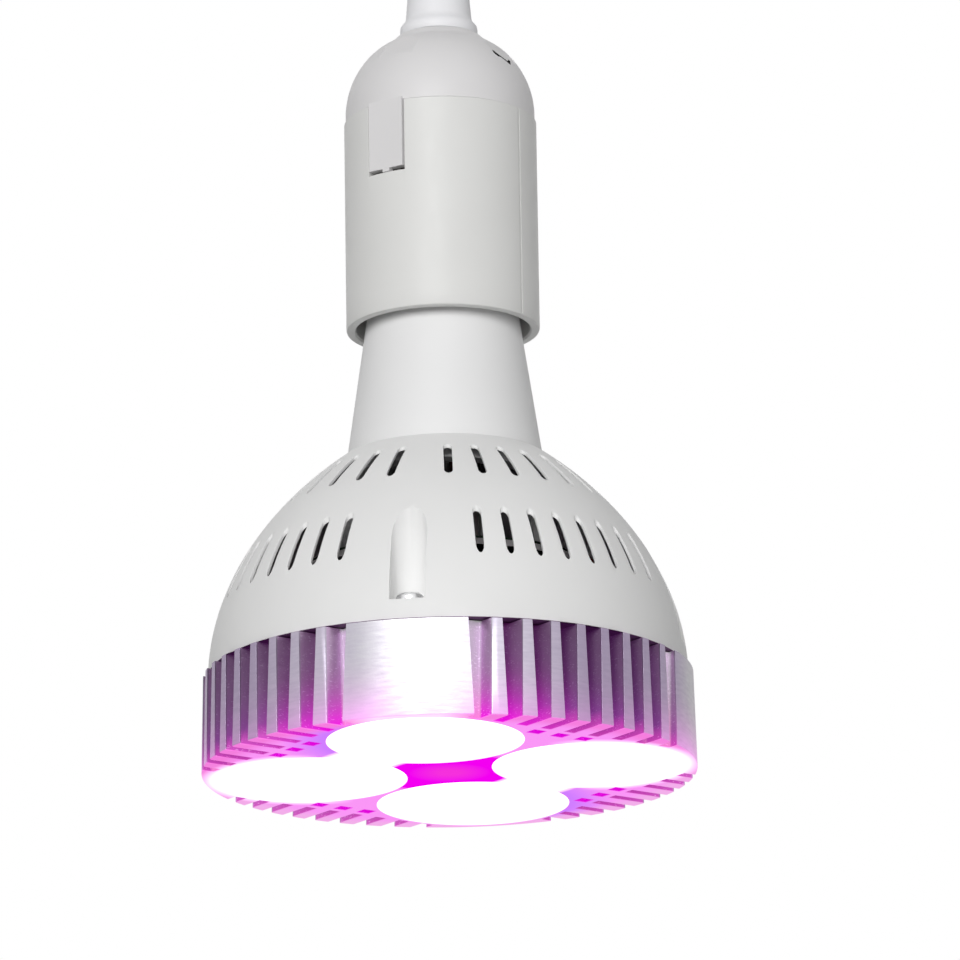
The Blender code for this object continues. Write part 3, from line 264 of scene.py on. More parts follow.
def soften(made, width, segments=2, sharper_than=40.0):
    """Rounds the edges that a mould or a file leaves round."""
    bpy.ops.object.select_all(action='DESELECT')
    made.select_set(True)
    bpy.context.view_layer.objects.active = made
    bpy.ops.object.mode_set(mode='EDIT')
    bpy.ops.mesh.select_all(action='SELECT')
    bpy.ops.mesh.remove_doubles(threshold=0.000002)
    bpy.ops.object.mode_set(mode='OBJECT')
    round_edges = made.modifiers.new("round edges", 'BEVEL')
    round_edges.width = width
    round_edges.segments = segments
    round_edges.limit_method = 'ANGLE'
    round_edges.angle_limit = math.radians(sharper_than)
    round_edges.use_clamp_overlap = True
    bpy.ops.object.modifier_apply(modifier=round_edges.name)
    return made


def seat(made, finish, body, slot, *replaced):
    """Shades the piece, gives it its finish and its body, and lets it stand for its nodes."""
    bpy.ops.object.select_all(action='DESELECT')
    made.select_set(True)
    bpy.context.view_layer.objects.active = made
    bpy.ops.object.shade_smooth_by_angle(angle=math.radians(33.0))
    made.data.materials.clear()
    made.data.materials.append(finish)
    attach(made, body)
    if replaced:
        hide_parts(*replaced)
    return made


def fin_slot(middle, width):
    """The cutter of one gap between fins, narrower at the face because the casting has draft."""
    low = (SLOT_INNER_END, middle - width / 2, -1.0 * MM)
    high = (FACE_RADIUS + 4.0 * MM, middle + width / 2, SINK_HEIGHT + 1.0 * MM)
    slot = block("slot", low, high)
    bpy.ops.object.mode_set(mode='EDIT')
    for at_top, thick in ((True, FIN_THICK_TOP), (False, FIN_THICK_FACE)):
        pick(slot, lambda co: (co.z > PLATE_TOP) == at_top)
        bpy.ops.transform.resize(value=(1.0, 1.0 - thick / width, 1.0), center_override=(0.0, middle, 0.0))
    bpy.ops.object.mode_set(mode='OBJECT')
    return slot


def quarter_gaps():
    """All the slots and windows of one quarter, joined, as they lie about the X axis."""
    gaps = [fin_slot((k - 3) * FIN_PITCH, FIN_PITCH) for k in range(7)]
    last_fin = 3.5 * FIN_PITCH
    flank = BLOCK_FLANK + FIN_THICK_TOP / 2
    for side in (-1, 1):
        gaps.append(fin_slot(side * (last_fin + flank) / 2, flank - last_fin))
    half = WINDOW_SIZE / 2
    for k in (-1, 0, 1):
        low = (WINDOW_MIDDLE - half, k * FIN_PITCH - half, -1.0 * MM)
        gaps.append(block("window", low, (WINDOW_MIDDLE + half, k * FIN_PITCH + half, SINK_HEIGHT + MM)))
    bpy.ops.object.select_all(action='DESELECT')
    for gap in gaps:
        gap.select_set(True)
    bpy.context.view_layer.objects.active = gaps[0]
    bpy.ops.object.join()
    return fix_place(gaps[0])


def cast_heat_sink():
    casting = rod("heat_sink_casting", (0.0, 0.0), FACE_RADIUS, 0.0, SINK_HEIGHT, 240)
    bpy.ops.object.mode_set(mode='EDIT')
    pick(casting, lambda co: co.z > PLATE_TOP)
    draft = SINK_TOP_RADIUS / FACE_RADIUS
    bpy.ops.transform.resize(value=(draft, draft, 1.0), center_override=(0.0, 0.0, 0.0))
    pick(casting, lambda co: co.z < PLATE_TOP)
    bpy.ops.mesh.select_mode(type='EDGE')
    bpy.ops.mesh.bevel(offset=FACE_EDGE, segments=3, affect='EDGES')
    bpy.ops.object.mode_set(mode='OBJECT')
    work(casting, rod("well", (0.0, 0.0), WELL_RADIUS, PLATE_TOP, SINK_HEIGHT + MM, 160))
    boss = rod("fan_boss", (FAN_CIRCLE, 0.0), BOSS_RADIUS, PLATE_TOP - MM, SINK_HEIGHT, 32)
    work(casting, round_the_axis(boss, DIAGONALS), 'UNION')
    work(casting, round_the_axis(quarter_gaps(), DIAGONALS))
    pocket = rod("pocket", (LENS_CIRCLE, 0.0), POCKET_RADIUS, -MM, POCKET_DEPTH, 128)
    work(casting, round_the_axis(pocket, QUARTERS))
    for circle, radius, bottom, angles in ((CHANNEL_CIRCLE, SCREW_HOLE, BLIND_BOTTOM, QUARTERS),
                                           (LEAD_CIRCLE, LEAD_HOLE, POCKET_DEPTH - MM, QUARTERS),
                                           (FAN_CIRCLE, FAN_HOLE, BLIND_BOTTOM, DIAGONALS)):
        hole = rod("hole", (circle, 0.0), radius, bottom, SINK_HEIGHT + MM, 20)
        work(casting, round_the_axis(hole, angles))
    return soften(casting, 0.08 * MM, 1, 50.0)


def object_place(tree):
    """The X, Y and Z of a point on the piece, as three outputs."""
    places = tree.nodes.new("ShaderNodeTexCoord")
    split = tree.nodes.new("ShaderNodeSeparateXYZ")
    tree.links.new(places.outputs["Object"], split.inputs[0])
    return split.outputs


def noise(tree, scale, detail=3.0, stretch=(1.0, 1.0, 1.0)):
    """Noise in the piece's own place, with scale in features a metre."""
    places = tree.nodes.new("ShaderNodeTexCoord")
    mapping = tree.nodes.new("ShaderNodeMapping")
    mapping.inputs["Scale"].default_value = stretch
    texture = tree.nodes.new("ShaderNodeTexNoise")
    texture.inputs["Scale"].default_value = scale
    texture.inputs["Detail"].default_value = detail
    tree.links.new(places.outputs["Object"], mapping.inputs["Vector"])
    tree.links.new(mapping.outputs["Vector"], texture.inputs["Vector"])
    return texture.outputs["Fac"]


def spread(tree, value, low, high, to_low=0.0, to_high=1.0):
    """Maps a value from one range to another and holds it at the ends."""
    node = tree.nodes.new("ShaderNodeMapRange")
    node.inputs["From Min"].default_value = low
    node.inputs["From Max"].default_value = high
    node.inputs["To Min"].default_value = to_low
    node.inputs["To Max"].default_value = to_high
    tree.links.new(value, node.inputs["Value"])
    return node.outputs["Result"]


def above(tree, value, low, high):
    """0 up to low, and 1 from high on."""
    return spread(tree, value, low, high)


def below(tree, value, low, high):
    """1 up to low, and 0 from high on."""
    return spread(tree, value, low, high, 1.0, 0.0)


def product(tree, *values):
    result = values[0]
    for value in values[1:]:
        result = figure(tree, 'MULTIPLY', result, value)
    return result


def blend_colours(tree, share, first, second):
    """One colour at share 0 and the other at 1. Each is a colour or an output."""
    node = tree.nodes.new("ShaderNodeMix")
    node.data_type = 'RGBA'
    tree.links.new(share, node.inputs["Factor"])
    for socket, colour in (("A", first), ("B", second)):
        target = [entry for entry in node.inputs if entry.name == socket and entry.type == 'RGBA'][0]
        if isinstance(colour, bpy.types.NodeSocket):
            tree.links.new(colour, target)
        else:
            target.default_value = (*colour, 1.0)
    return [entry for entry in node.outputs if entry.type == 'RGBA'][0]


def roughen(tree, shader, height, strength, distance):
    """A bump on the shader from a height."""
    bump = tree.nodes.new("ShaderNodeBump")
    bump.inputs["Strength"].default_value = strength
    bump.inputs["Distance"].default_value = distance
    tree.links.new(height, bump.inputs["Height"])
    tree.links.new(bump.outputs["Normal"], shader.inputs["Normal"])


def new_finish(name):
    """A new material's node tree and its Principled shader."""
    made = bpy.data.materials.new(name)
    made.use_nodes = True
    return made, made.node_tree, made.node_tree.nodes["Principled BSDF"]


def length(tree, first, second):
    """The length of the two values' vector."""
    squares = figure(tree, 'ADD', product(tree, first, first), product(tree, second, second))
    return figure(tree, 'SQRT', squares)


def lens_reach(tree, x, y):
    """How far a point lies from the nearest lens's middle, and how far aside of that lens."""
    x_out = figure(tree, 'ABSOLUTE', x)
    y_out = figure(tree, 'ABSOLUTE', y)
    far = figure(tree, 'SUBTRACT', figure(tree, 'MAXIMUM', x_out, y_out), LENS_CIRCLE)
    aside = figure(tree, 'MINIMUM', x_out, y_out)
    return length(tree, far, aside), aside


def casting_places(tree):
    """Masks that are 1 in the named place on the casting and 0 away from it."""
    at = SimpleNamespace()
    x, y, z = object_place(tree)
    x_out = figure(tree, 'ABSOLUTE', x)
    y_out = figure(tree, 'ABSOLUTE', y)
    quarter = product(tree, x, y)
    reach = length(tree, x, y)
    to_lens, aside = lens_reach(tree, x, y)
    to_end_lens = length(tree, x, figure(tree, 'SUBTRACT', y_out, LENS_CIRCLE))
    along_fins = product(tree, figure(tree, 'ADD', x_out, y_out), math.sqrt(0.5))
    draft = (FACE_RADIUS - SINK_TOP_RADIUS) / SINK_HEIGHT
    rim_reach = figure(tree, 'ADD', reach, product(tree, z, draft))

    # On the uprights: the slots' walls and inner ends, the windows, the pockets and the skin
    at.inside = below(tree, rim_reach, FACE_RADIUS - 0.40 * MM, FACE_RADIUS - 0.15 * MM)
    # How deep in a slot, for the painted shade on the walls
    at.deep = below(tree, rim_reach, FACE_RADIUS - 7.0 * MM, FACE_RADIUS - 1.5 * MM)
    at.slot_end = product(tree,
                          below(tree, along_fins, SLOT_INNER_END + 0.3 * MM, SLOT_INNER_END + 0.9 * MM),
                          above(tree, reach, FACE_RADIUS - 5.5 * MM, FACE_RADIUS - 4.0 * MM))
    at.in_slots = above(tree, along_fins, WINDOW_MIDDLE + 2.0 * MM, WINDOW_MIDDLE + 2.3 * MM)
    at.in_windows = product(tree, figure(tree, 'SUBTRACT', 1.0, at.in_slots),
                            below(tree, z, 3.0 * MM, 6.0 * MM))
    at.pocket_wall = product(tree,
                             below(tree, to_lens, POCKET_RADIUS + 0.05 * MM, POCKET_RADIUS + 0.15 * MM),
                             below(tree, z, 1.5 * MM, 2.5 * MM))
    # Where painted highlights go: the middle of each block, then the left and right of the front skin
    at.turned = below(tree, aside, 3.0 * MM, 12.5 * MM)
    at.past_left_fins = above(tree, x, -16.0 * MM, -9.0 * MM)
    at.past_middle = above(tree, x, -8.0 * MM, 14.0 * MM)
    at.front = below(tree, y, -43.0 * MM, -35.0 * MM)

    # How strongly the lenses light them
    at.low_glow = figure(tree, 'POWER', below(tree, z, 0.0, 17.0 * MM), 3.4)
    at.near_face = spread(tree, z, 0.3 * MM, 3.0 * MM, 0.65, 0.0)
    at.frontal = below(tree, y, -38.0 * MM, -24.0 * MM)
    at.beside_lens = below(tree, to_lens, POCKET_RADIUS + 2.0 * MM, POCKET_RADIUS + 12.5 * MM)

    # On the face
    at.on_face = below(tree, z, 0.03 * MM, 0.25 * MM)
    at.lens_edge = below(tree, to_lens, POCKET_RADIUS - 0.02 * MM, POCKET_RADIUS + 0.08 * MM)
    near_lens = below(tree, to_lens, POCKET_RADIUS, POCKET_RADIUS + 3.2 * MM)
    at.bloom = product(tree, figure(tree, 'POWER', near_lens, 1.6), above(tree, x_out, 22.0 * MM, 30.0 * MM))
    at.star = product(tree, at.on_face, below(tree, reach, 14.5 * MM, 17.0 * MM))
    at.star_middle = below(tree, reach, 2.0 * MM, 8.0 * MM)
    at.towards_lens = product(tree, above(tree, quarter, 0.0, 0.0002),
                              below(tree, to_end_lens, POCKET_RADIUS + 1.0 * MM, POCKET_RADIUS + 9.0 * MM))
    at.lens_gap = product(tree, above(tree, reach, 11.5 * MM, 13.0 * MM),
                          below(tree, reach, 26.5 * MM, 28.5 * MM), above(tree, quarter, 0.00001, 0.00004))
    at.rim = above(tree, reach, 41.0 * MM, 45.0 * MM)
    at.rim_bloom = product(tree, below(tree, aside, 6.0 * MM, 13.0 * MM),
                           below(tree, y, -44.0 * MM, -42.0 * MM))
    at.back = above(tree, y, -20.0 * MM, 20.0 * MM)
    return at


def casting_colour(tree, at, streaks):
    """Violet-grey slots, painted darker deeper in and with painted glints. A skin painted paler in each
    block's middle and on the front as highlight. Magenta lens light painted on low down, and a face painted
    pink and magenta with the lenses' light.
    """
    # Painted shade: the slots' walls are painted darker deeper in.
    wall_with_painted_shade = blend_colours(tree, at.deep, (0.48, 0.36, 0.50), (0.31, 0.16, 0.34))
    # Painted lens light: the walls are painted magenta low down, near the lenses.
    lens_lit_wall = blend_colours(tree, at.low_glow, wall_with_painted_shade, (0.24, 0.03, 0.24))
    # Painted glints: bright specks scattered on the slots' walls.
    painted_glints = product(tree, above(tree, noise(tree, 1500.0, 2.0, (1.0, 1.0, 2.5)), 0.60, 0.70), at.inside)
    glinting_wall = blend_colours(tree, product(tree, painted_glints, 0.45), lens_lit_wall, (0.85, 0.78, 0.90))
    # Painted highlight: the front skin, which faces the key light, is paler than the skin behind at its left
    # and most at its right. Each block's middle is paler still.
    left_skin_painted_light = blend_colours(tree, at.past_left_fins, (0.485, 0.445, 0.53), (0.37, 0.36, 0.40))
    front_skin_painted_highlight = blend_colours(tree, at.past_middle, left_skin_painted_light, (0.58, 0.54, 0.63))
    skin = blend_colours(tree, at.front, (0.37, 0.305, 0.42), front_skin_painted_highlight)
    block_highlight_skin = blend_colours(tree, at.turned, skin, (0.44, 0.43, 0.45))
    # Painted lens light: the skin is painted magenta low down, near the lenses.
    lens_lit_skin = blend_colours(tree, product(tree, at.low_glow, 0.8), block_highlight_skin, (0.62, 0.32, 0.64))
    brushed = blend_colours(tree, spread(tree, streaks, 0.35, 0.65, 0.0, 0.22), lens_lit_skin, (0.26, 0.22, 0.32))
    body = blend_colours(tree, at.inside, brushed, glinting_wall)
    # Painted lens light: the face is painted pink, and its middle star dark magenta.
    lit_face = blend_colours(tree, at.on_face, body, (0.42, 0.10, 0.38))
    return blend_colours(tree, at.star, lit_face, (0.20, 0.0, 0.22))


def upright_glow(tree, at):
    """The light of the lenses in the slots, the windows and the pockets, and low on the skin."""
    dark = (0.0, 0.0, 0.0)
    dim = blend_colours(tree, at.low_glow, (0.025, 0.004, 0.03), (0.19, 0.04, 0.24))
    dull = blend_colours(tree, at.near_face, dim, (0.56, 0.05, 0.38))
    strong = blend_colours(tree, at.low_glow, (0.035, 0.004, 0.035), (0.72, 0.0, 0.62))
    slots = blend_colours(tree, product(tree, at.frontal, at.beside_lens), dull, strong)
    # Painted light: the slots' inner ends glow pale grey high up and magenta low down.
    end = blend_colours(tree, at.low_glow, (0.20, 0.22, 0.20), (0.75, 0.20, 0.52))
    with_ends = blend_colours(tree, at.slot_end, slots, end)
    outer = blend_colours(tree, at.in_slots, dark, with_ends)
    with_windows = blend_colours(tree, at.in_windows, outer, (0.58, 0.0, 0.54))
    walls = blend_colours(tree, at.pocket_wall, with_windows, (1.4, 1.2, 1.4))
    skin = blend_colours(tree, product(tree, at.low_glow, at.beside_lens), dark, (0.34, 0.08, 0.30))
    return blend_colours(tree, at.inside, skin, walls)


def face_glow(tree, at):
    """The light on the face: violet beside two lenses, white at their edges, magenta in the middle."""
    flat = blend_colours(tree, at.towards_lens, (0.84, 0.28, 0.82), (0.52, 0.18, 0.92))
    rim = blend_colours(tree, at.back, (0.80, 0.18, 0.62), (0.78, 0.40, 0.72))
    with_rim = blend_colours(tree, at.rim, flat, rim)
    pale_rim = blend_colours(tree, at.rim_bloom, with_rim, (1.0, 0.72, 0.95))
    star = blend_colours(tree, at.star_middle, (0.84, 0.0, 0.82), (0.86, 0.03, 0.66))
    with_star = blend_colours(tree, at.star, pale_rim, star)
    white_spots = figure(tree, 'MAXIMUM', at.bloom, at.lens_gap)
    lit = blend_colours(tree, white_spots, with_star, (1.5, 1.2, 1.5))
    return blend_colours(tree, at.lens_edge, lit, (1.4, 1.2, 1.4))


def cast_aluminium():
    """Cast metal with a painted highlight on its block faces, and the lenses' light painted on it as colour
    and glow.
    """
    made, tree, shader = new_finish("cast_aluminium")
    at = casting_places(tree)
    grains = noise(tree, 2600.0, 2.0)
    streaks = noise(tree, 300.0, 4.0, (1.0, 1.0, 6.0))
    tree.links.new(casting_colour(tree, at, streaks), shader.inputs["Base Color"])
    glow = blend_colours(tree, at.on_face, upright_glow(tree, at), face_glow(tree, at))
    tree.links.new(glow, shader.inputs["Emission Color"])
    shader.inputs["Emission Strength"].default_value = 1.0
    tree.links.new(spread(tree, at.on_face, 0.0, 1.0, 0.85, 0.0), shader.inputs["Metallic"])
    shader.inputs["Specular IOR Level"].default_value = 0.0
    tree.links.new(spread(tree, streaks, 0.3, 0.7, 0.40, 0.50), shader.inputs["Roughness"])
    height = figure(tree, 'ADD', product(tree, grains, 0.35), product(tree, streaks, 0.65))
    roughen(tree, shader, height, 0.22, 0.12 * MM)
    return made


aluminium = cast_aluminium()
seat(cast_heat_sink(), aluminium, "bulb", "cast_aluminium", "heat_sink")


# Lenses. Four moulded diffusing lenses with a low dome, pressed into the pockets and fully lit.
# Their light is magenta, and so strong that each lens itself looks white.
SIDES = {side: math.radians(90.0 * k - 90.0) for k, side in enumerate(("front", "right", "back", "left"))}
lens_low, lens_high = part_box("lens_front")
LENS_RADIUS = (lens_high.x - lens_low.x) / 2
LENS_TOP = lens_high.z
LENS_RIM = 0.45 * MM
LENS_DOME = 0.1 * MM
LENS_CREST = 0.985                   # share of the radius where the dome meets the rounded rim
LENS_STEPS = 13
LENS_BACK = (4.6 * MM, 3.4 * MM)     # the height of the back at its edge and in its middle
LENS_BACK_RADIUS = 13.0 * MM
LENS_SKIRT_INSIDE = 16.6 * MM


def turn(name, rings, sides=192):
    """A turned piece: one ring is drawn through every (radius, height), up the outside and back inside.

    Where the last ring isn't the first again, both end rings are closed with a flat face.
    """
    bpy.ops.object.select_all(action='DESELECT')
    radius, height = rings[0]
    bpy.ops.mesh.primitive_circle_add(vertices=sides, radius=radius, location=(0.0, 0.0, height),
                                      fill_type='NGON' if rings[0] != rings[-1] else 'NOTHING')
    made = start(name)
    bpy.ops.object.mode_set(mode='EDIT')
    bpy.ops.mesh.select_mode(type='EDGE')
    bpy.ops.mesh.select_all(action='SELECT')
    for (old_radius, old_height), (radius, height) in zip(rings, rings[1:]):
        bpy.ops.mesh.extrude_edges_move(TRANSFORM_OT_translate={"value": (0.0, 0.0, height - old_height)})
        ratio = radius / old_radius
        bpy.ops.transform.resize(value=(ratio, ratio, 1.0), center_override=(0.0, 0.0, height))
    if rings[0] != rings[-1]:
        bpy.ops.mesh.edge_face_add()
    bpy.ops.mesh.select_all(action='SELECT')
    bpy.ops.mesh.remove_doubles(threshold=0.000001)
    bpy.ops.mesh.normals_make_consistent(inside=False)
    bpy.ops.object.mode_set(mode='OBJECT')
    return fix_place(made)


def mould_lens(side, angle):
    """The low dome runs from a flat middle out to the rim, and the skirt stands in the pocket."""
    rings = []
    for step in range(LENS_STEPS):
        share = (1 + step) / LENS_STEPS
        rings.append((LENS_RADIUS * LENS_CREST * share, LENS_DOME + (LENS_RIM - LENS_DOME) * share ** 2.4))
    rings += [(LENS_RADIUS, LENS_RIM + 0.3 * MM),
              (LENS_RADIUS, LENS_TOP),
              (LENS_SKIRT_INSIDE, LENS_TOP),
              (LENS_SKIRT_INSIDE, LENS_BACK[0]),
              (LENS_BACK_RADIUS, LENS_BACK[0]),
              (1.0 * MM, LENS_BACK[1])]
    lens = turn("lens_dome_" + side, rings, 128)
    lens.location = (LENS_CIRCLE * math.cos(angle), LENS_CIRCLE * math.sin(angle), 0.0)
    return fix_place(lens)


def lit_lens():
    """A faint ripple of facets under a strong magenta light that burns out to white."""
    made, tree, shader = new_finish("lit_lens")
    x, y, _ = object_place(tree)
    reach, _ = lens_reach(tree, x, y)
    rim = spread(tree, reach, LENS_RADIUS - 0.5 * MM, LENS_RADIUS)
    shader.inputs["Base Color"].default_value = (0.95, 0.88, 0.95, 1.0)
    shader.inputs["Roughness"].default_value = 0.25
    glow = blend_colours(tree, rim, (1.0, 0.62, 1.0), (1.0, 0.55, 0.95))
    tree.links.new(glow, shader.inputs["Emission Color"])
    shader.inputs["Emission Strength"].default_value = 2.2
    roughen(tree, shader, noise(tree, 900.0, 1.0), 0.1, 0.1 * MM)
    return made


lens_light = lit_lens()
for side, angle in SIDES.items():
    seat(mould_lens(side, angle), lens_light, "bulb", "lens", "lens_" + side)


# Vented dome. One white moulding whose outline falls from a steep skirt to a flat top. Two rows of
# slots run straight up through it, and a channel on each side leads down to a screw on its ledge.
DOME_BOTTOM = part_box("vented_dome")[0].z
DOME_RADIUS = 46.16 * MM
DOME_RISE = 53.05 * MM
DOME_CENTRE = 17.96 * MM
DOME_FALL = 1.45
DOME_WALL = 0.55 * MM
DOME_FOOT = 3.5 * MM
DOME_FOOT_TOP = 3.0 * MM             # above the dome's lower edge
DOME_MOUTH = 19.25 * MM
DOME_SKY = 66.0 * MM                 # above all of the dome
LOW_VENT = (38.7 * MM, 43.73 * MM, 1.62 * MM)      # a slot's inner end, outer end and width
HIGH_VENT = (24.45 * MM, 32.65 * MM, 1.65 * MM)
LOW_VENT_PITCH = 7.74
HIGH_VENT_PITCH = 11.67
HIGH_VENT_TURN = 0.6
CHANNEL_RADIUS = 3.4 * MM
CHANNEL_TOP = 56.0 * MM
POST_WALL = 1.6 * MM
POST_TOP = 44.0 * MM
LEDGE = 23.0 * MM


def dome_point(t, inset):
    """A point of the dome's outline, inset along the wall's normal."""
    slope_r = -DOME_RADIUS * DOME_FALL * math.cos(t) ** (DOME_FALL - 1) * math.sin(t)
    slope_z = DOME_RISE * math.cos(t)
    size = math.hypot(slope_r, slope_z)
    radius = DOME_RADIUS * math.cos(t) ** DOME_FALL
    height = DOME_CENTRE + DOME_RISE * math.sin(t)
    return (radius - inset * slope_z / size, height + inset * slope_r / size)


def dome_arc(top_radius, steps, inset=0.0):
    """Outline points from the bottom edge up to the given outside radius."""
    bottom = math.asin((DOME_BOTTOM - DOME_CENTRE) / DOME_RISE)
    top = math.acos((top_radius / DOME_RADIUS) ** (1 / DOME_FALL))
    return [dome_point(bottom + (top - bottom) * k / steps, inset) for k in range(steps + 1)]


def vent_cutter(span, bottom, top):
    """An upright bar with round ends, as long and wide as the slot it cuts."""
    inner, outer, width = span
    bar = block("vent", (inner, -width / 2, bottom), (outer, width / 2, top))
    bpy.ops.object.mode_set(mode='EDIT')
    bpy.ops.mesh.select_mode(type='EDGE')
    bpy.ops.mesh.select_all(action='DESELECT')
    cage = bmesh.from_edit_mesh(bar.data)
    for edge in cage.edges:
        edge.select = abs(edge.verts[0].co.z - edge.verts[1].co.z) > MM
    bmesh.update_edit_mesh(bar.data)
    bpy.ops.mesh.bevel(offset=width * 0.499, segments=6, affect='EDGES')
    bpy.ops.object.mode_set(mode='OBJECT')
    return bar


def vent_angles(count, pitch, ahead=0.0):
    """Evenly about the middle of each quarter, all turned ahead by so many degrees."""
    turns = [math.radians((k - (count - 1) / 2) * pitch + ahead) for k in range(count)]
    return [middle + turn_on for middle in DIAGONALS for turn_on in turns]


def mould_dome():
    outside = dome_arc(19.75 * MM, 34)
    inside = dome_arc(20.7 * MM, 20, DOME_WALL)
    rings = outside + [(DOME_MOUTH + 0.15 * MM, outside[-1][1] - 0.03 * MM),
                       (DOME_MOUTH, outside[-1][1] - 0.2 * MM),
                       (DOME_MOUTH, inside[-1][1])]
    foot = inside[0][0] - DOME_FOOT
    rings += inside[::-1][:-2]
    rings += [(inside[0][0], DOME_BOTTOM + DOME_FOOT_TOP + 0.3 * MM),
              (foot, DOME_BOTTOM + DOME_FOOT_TOP),
              (foot, DOME_BOTTOM),
              outside[0]]
    dome = turn("dome_moulding", rings, 224)
    middle_wall = dome_arc(15.0 * MM, 20, DOME_WALL / 2)
    under = 18.0 * MM
    limit = turn("post_limit", middle_wall + [(1.0 * MM, middle_wall[-1][1]), (1.0 * MM, under),
                                              (middle_wall[0][0], under), middle_wall[0]], 96)
    post = rod("screw_post", (CHANNEL_CIRCLE, 0.0), CHANNEL_RADIUS + POST_WALL,
               DOME_BOTTOM + 0.2 * MM, POST_TOP)
    posts = work(round_the_axis(post, QUARTERS), limit, 'INTERSECT')
    work(dome, posts, 'UNION')
    channel = rod("channel", (CHANNEL_CIRCLE, 0.0), CHANNEL_RADIUS, LEDGE, CHANNEL_TOP, 64)
    outwards = block("channel_mouth", (CHANNEL_CIRCLE, -CHANNEL_RADIUS, LEDGE),
                     (52.0 * MM, CHANNEL_RADIUS, CHANNEL_TOP))
    work(dome, round_the_axis(work(channel, outwards, 'UNION'), QUARTERS))
    screw_hole = rod("screw_hole", (CHANNEL_CIRCLE, 0.0), SCREW_HOLE, DOME_BOTTOM - MM, LEDGE + MM, 24)
    work(dome, round_the_axis(screw_hole, QUARTERS))
    low_vent = vent_cutter(LOW_VENT, 26.0 * MM, 50.0 * MM)
    work(dome, round_the_axis(low_vent, vent_angles(8, LOW_VENT_PITCH)))
    high_vent = vent_cutter(HIGH_VENT, 41.0 * MM, DOME_SKY)
    work(dome, round_the_axis(high_vent, vent_angles(7, HIGH_VENT_PITCH, HIGH_VENT_TURN)))
    return soften(dome, 0.14 * MM, 2, 45.0)


def moulded_plastic(name, colour, roughness, shade=0.05, grain=0.05):
    """Moulded plastic with a faint cloudiness and the fine grain that the mould's wall leaves."""
    made, tree, shader = new_finish(name)
    cloud = noise(tree, 60.0, 3.0)
    darker = tuple(channel * (1.0 - shade) for channel in colour)
    clouded = blend_colours(tree, spread(tree, cloud, 0.35, 0.65), darker, colour)
    tree.links.new(clouded, shader.inputs["Base Color"])
    sheen = spread(tree, noise(tree, 420.0, 2.0), 0.3, 0.7, roughness - 0.05, roughness + 0.05)
    tree.links.new(sheen, shader.inputs["Roughness"])
    shader.inputs["Specular IOR Level"].default_value = 0.25
    roughen(tree, shader, noise(tree, 3200.0, 2.0), grain, 0.05 * MM)
    return made


def retint(made, mask, colour):
    """Gives a finish another colour where the mask, made from the place on the piece, is 1."""
    tree = made.node_tree
    base = tree.nodes["Principled BSDF"].inputs["Base Color"]
    share = mask(tree, *object_place(tree))
    tree.links.new(blend_colours(tree, share, base.links[0].from_socket, colour), base)
    return made


def shaded_underside(tree, x, y, z):
    """1 on the dome's lower edge, over the slots, which is painted dark violet as their shade."""
    return below(tree, z, DOME_BOTTOM + 0.02 * MM, DOME_BOTTOM + 0.1 * MM)


dome_white = moulded_plastic("dome_plastic", (0.86, 0.86, 0.855), 0.52, 0.02)
# Painted shade: the dome's lower edge over the slots is painted dark violet.
retint(dome_white, shaded_underside, (0.14, 0.06, 0.15))
seat(mould_dome(), dome_white, "bulb", "dome_plastic", "vented_dome")


# Dome screws. A zinc-plated pan-head screw stands on the ledge of each channel, with a cross recess
# in its head, and holds the dome down on the heat sink.
SCREW_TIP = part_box("dome_screw_front")[0].z
SCREW_HEAD_RADIUS = 2.7 * MM
SCREW_HEAD = 1.7 * MM
SCREW_SHANK = 1.2 * MM


def pan_screw(name, place, head_radius, seat_height, head_height, shank_radius, bottom):
    """A turned pan-head screw with a cross recess."""
    rings = [(shank_radius * 0.3, bottom),
             (shank_radius, bottom + shank_radius),
             (shank_radius, seat_height),
             (head_radius, seat_height),
             (head_radius, seat_height + 0.35 * head_height)]
    for step in range(1, 6):
        t = math.radians(15.0 * step)
        height = seat_height + head_height * (0.35 + 0.65 * math.sin(t))
        rings.append((head_radius * math.cos(t) ** 0.7, height))
    made = turn(name, rings, 40)
    top = seat_height + head_height
    for k in range(2):
        half = head_radius * 0.62
        bar = block("recess", (-half, -0.16 * head_radius, top - 0.45 * head_height),
                    (half, 0.16 * head_radius, top + MM))
        bar.rotation_euler.z = math.radians(45.0 + 90.0 * k)
        work(made, fix_place(bar))
    made.location = (place[0], place[1], 0.0)
    return fix_place(made)


def plated_metal(name, colour, roughness):
    """Plated metal with fine scratches."""
    made, tree, shader = new_finish(name)
    shader.inputs["Metallic"].default_value = 1.0
    wear = noise(tree, 700.0, 4.0, (1.0, 1.0, 5.0))
    darker = tuple(channel * 0.82 for channel in colour)
    worn = blend_colours(tree, spread(tree, wear, 0.3, 0.7), darker, colour)
    tree.links.new(worn, shader.inputs["Base Color"])
    sheen = spread(tree, wear, 0.25, 0.75, roughness - 0.06, roughness + 0.1)
    tree.links.new(sheen, shader.inputs["Roughness"])
    roughen(tree, shader, noise(tree, 2500.0, 2.0), 0.08, 0.05 * MM)
    return made


zinc = plated_metal("zinc_steel", (0.80, 0.80, 0.81), 0.28)
for side, angle in SIDES.items():
    place = (CHANNEL_CIRCLE * math.cos(angle), CHANNEL_CIRCLE * math.sin(angle))
    screw = pan_screw("channel_screw_" + side, place, SCREW_HEAD_RADIUS, LEDGE + 0.2 * MM, SCREW_HEAD,
                      SCREW_SHANK, SCREW_TIP)
    seat(screw, zinc, "bulb", "zinc_steel", "dome_screw_" + side)


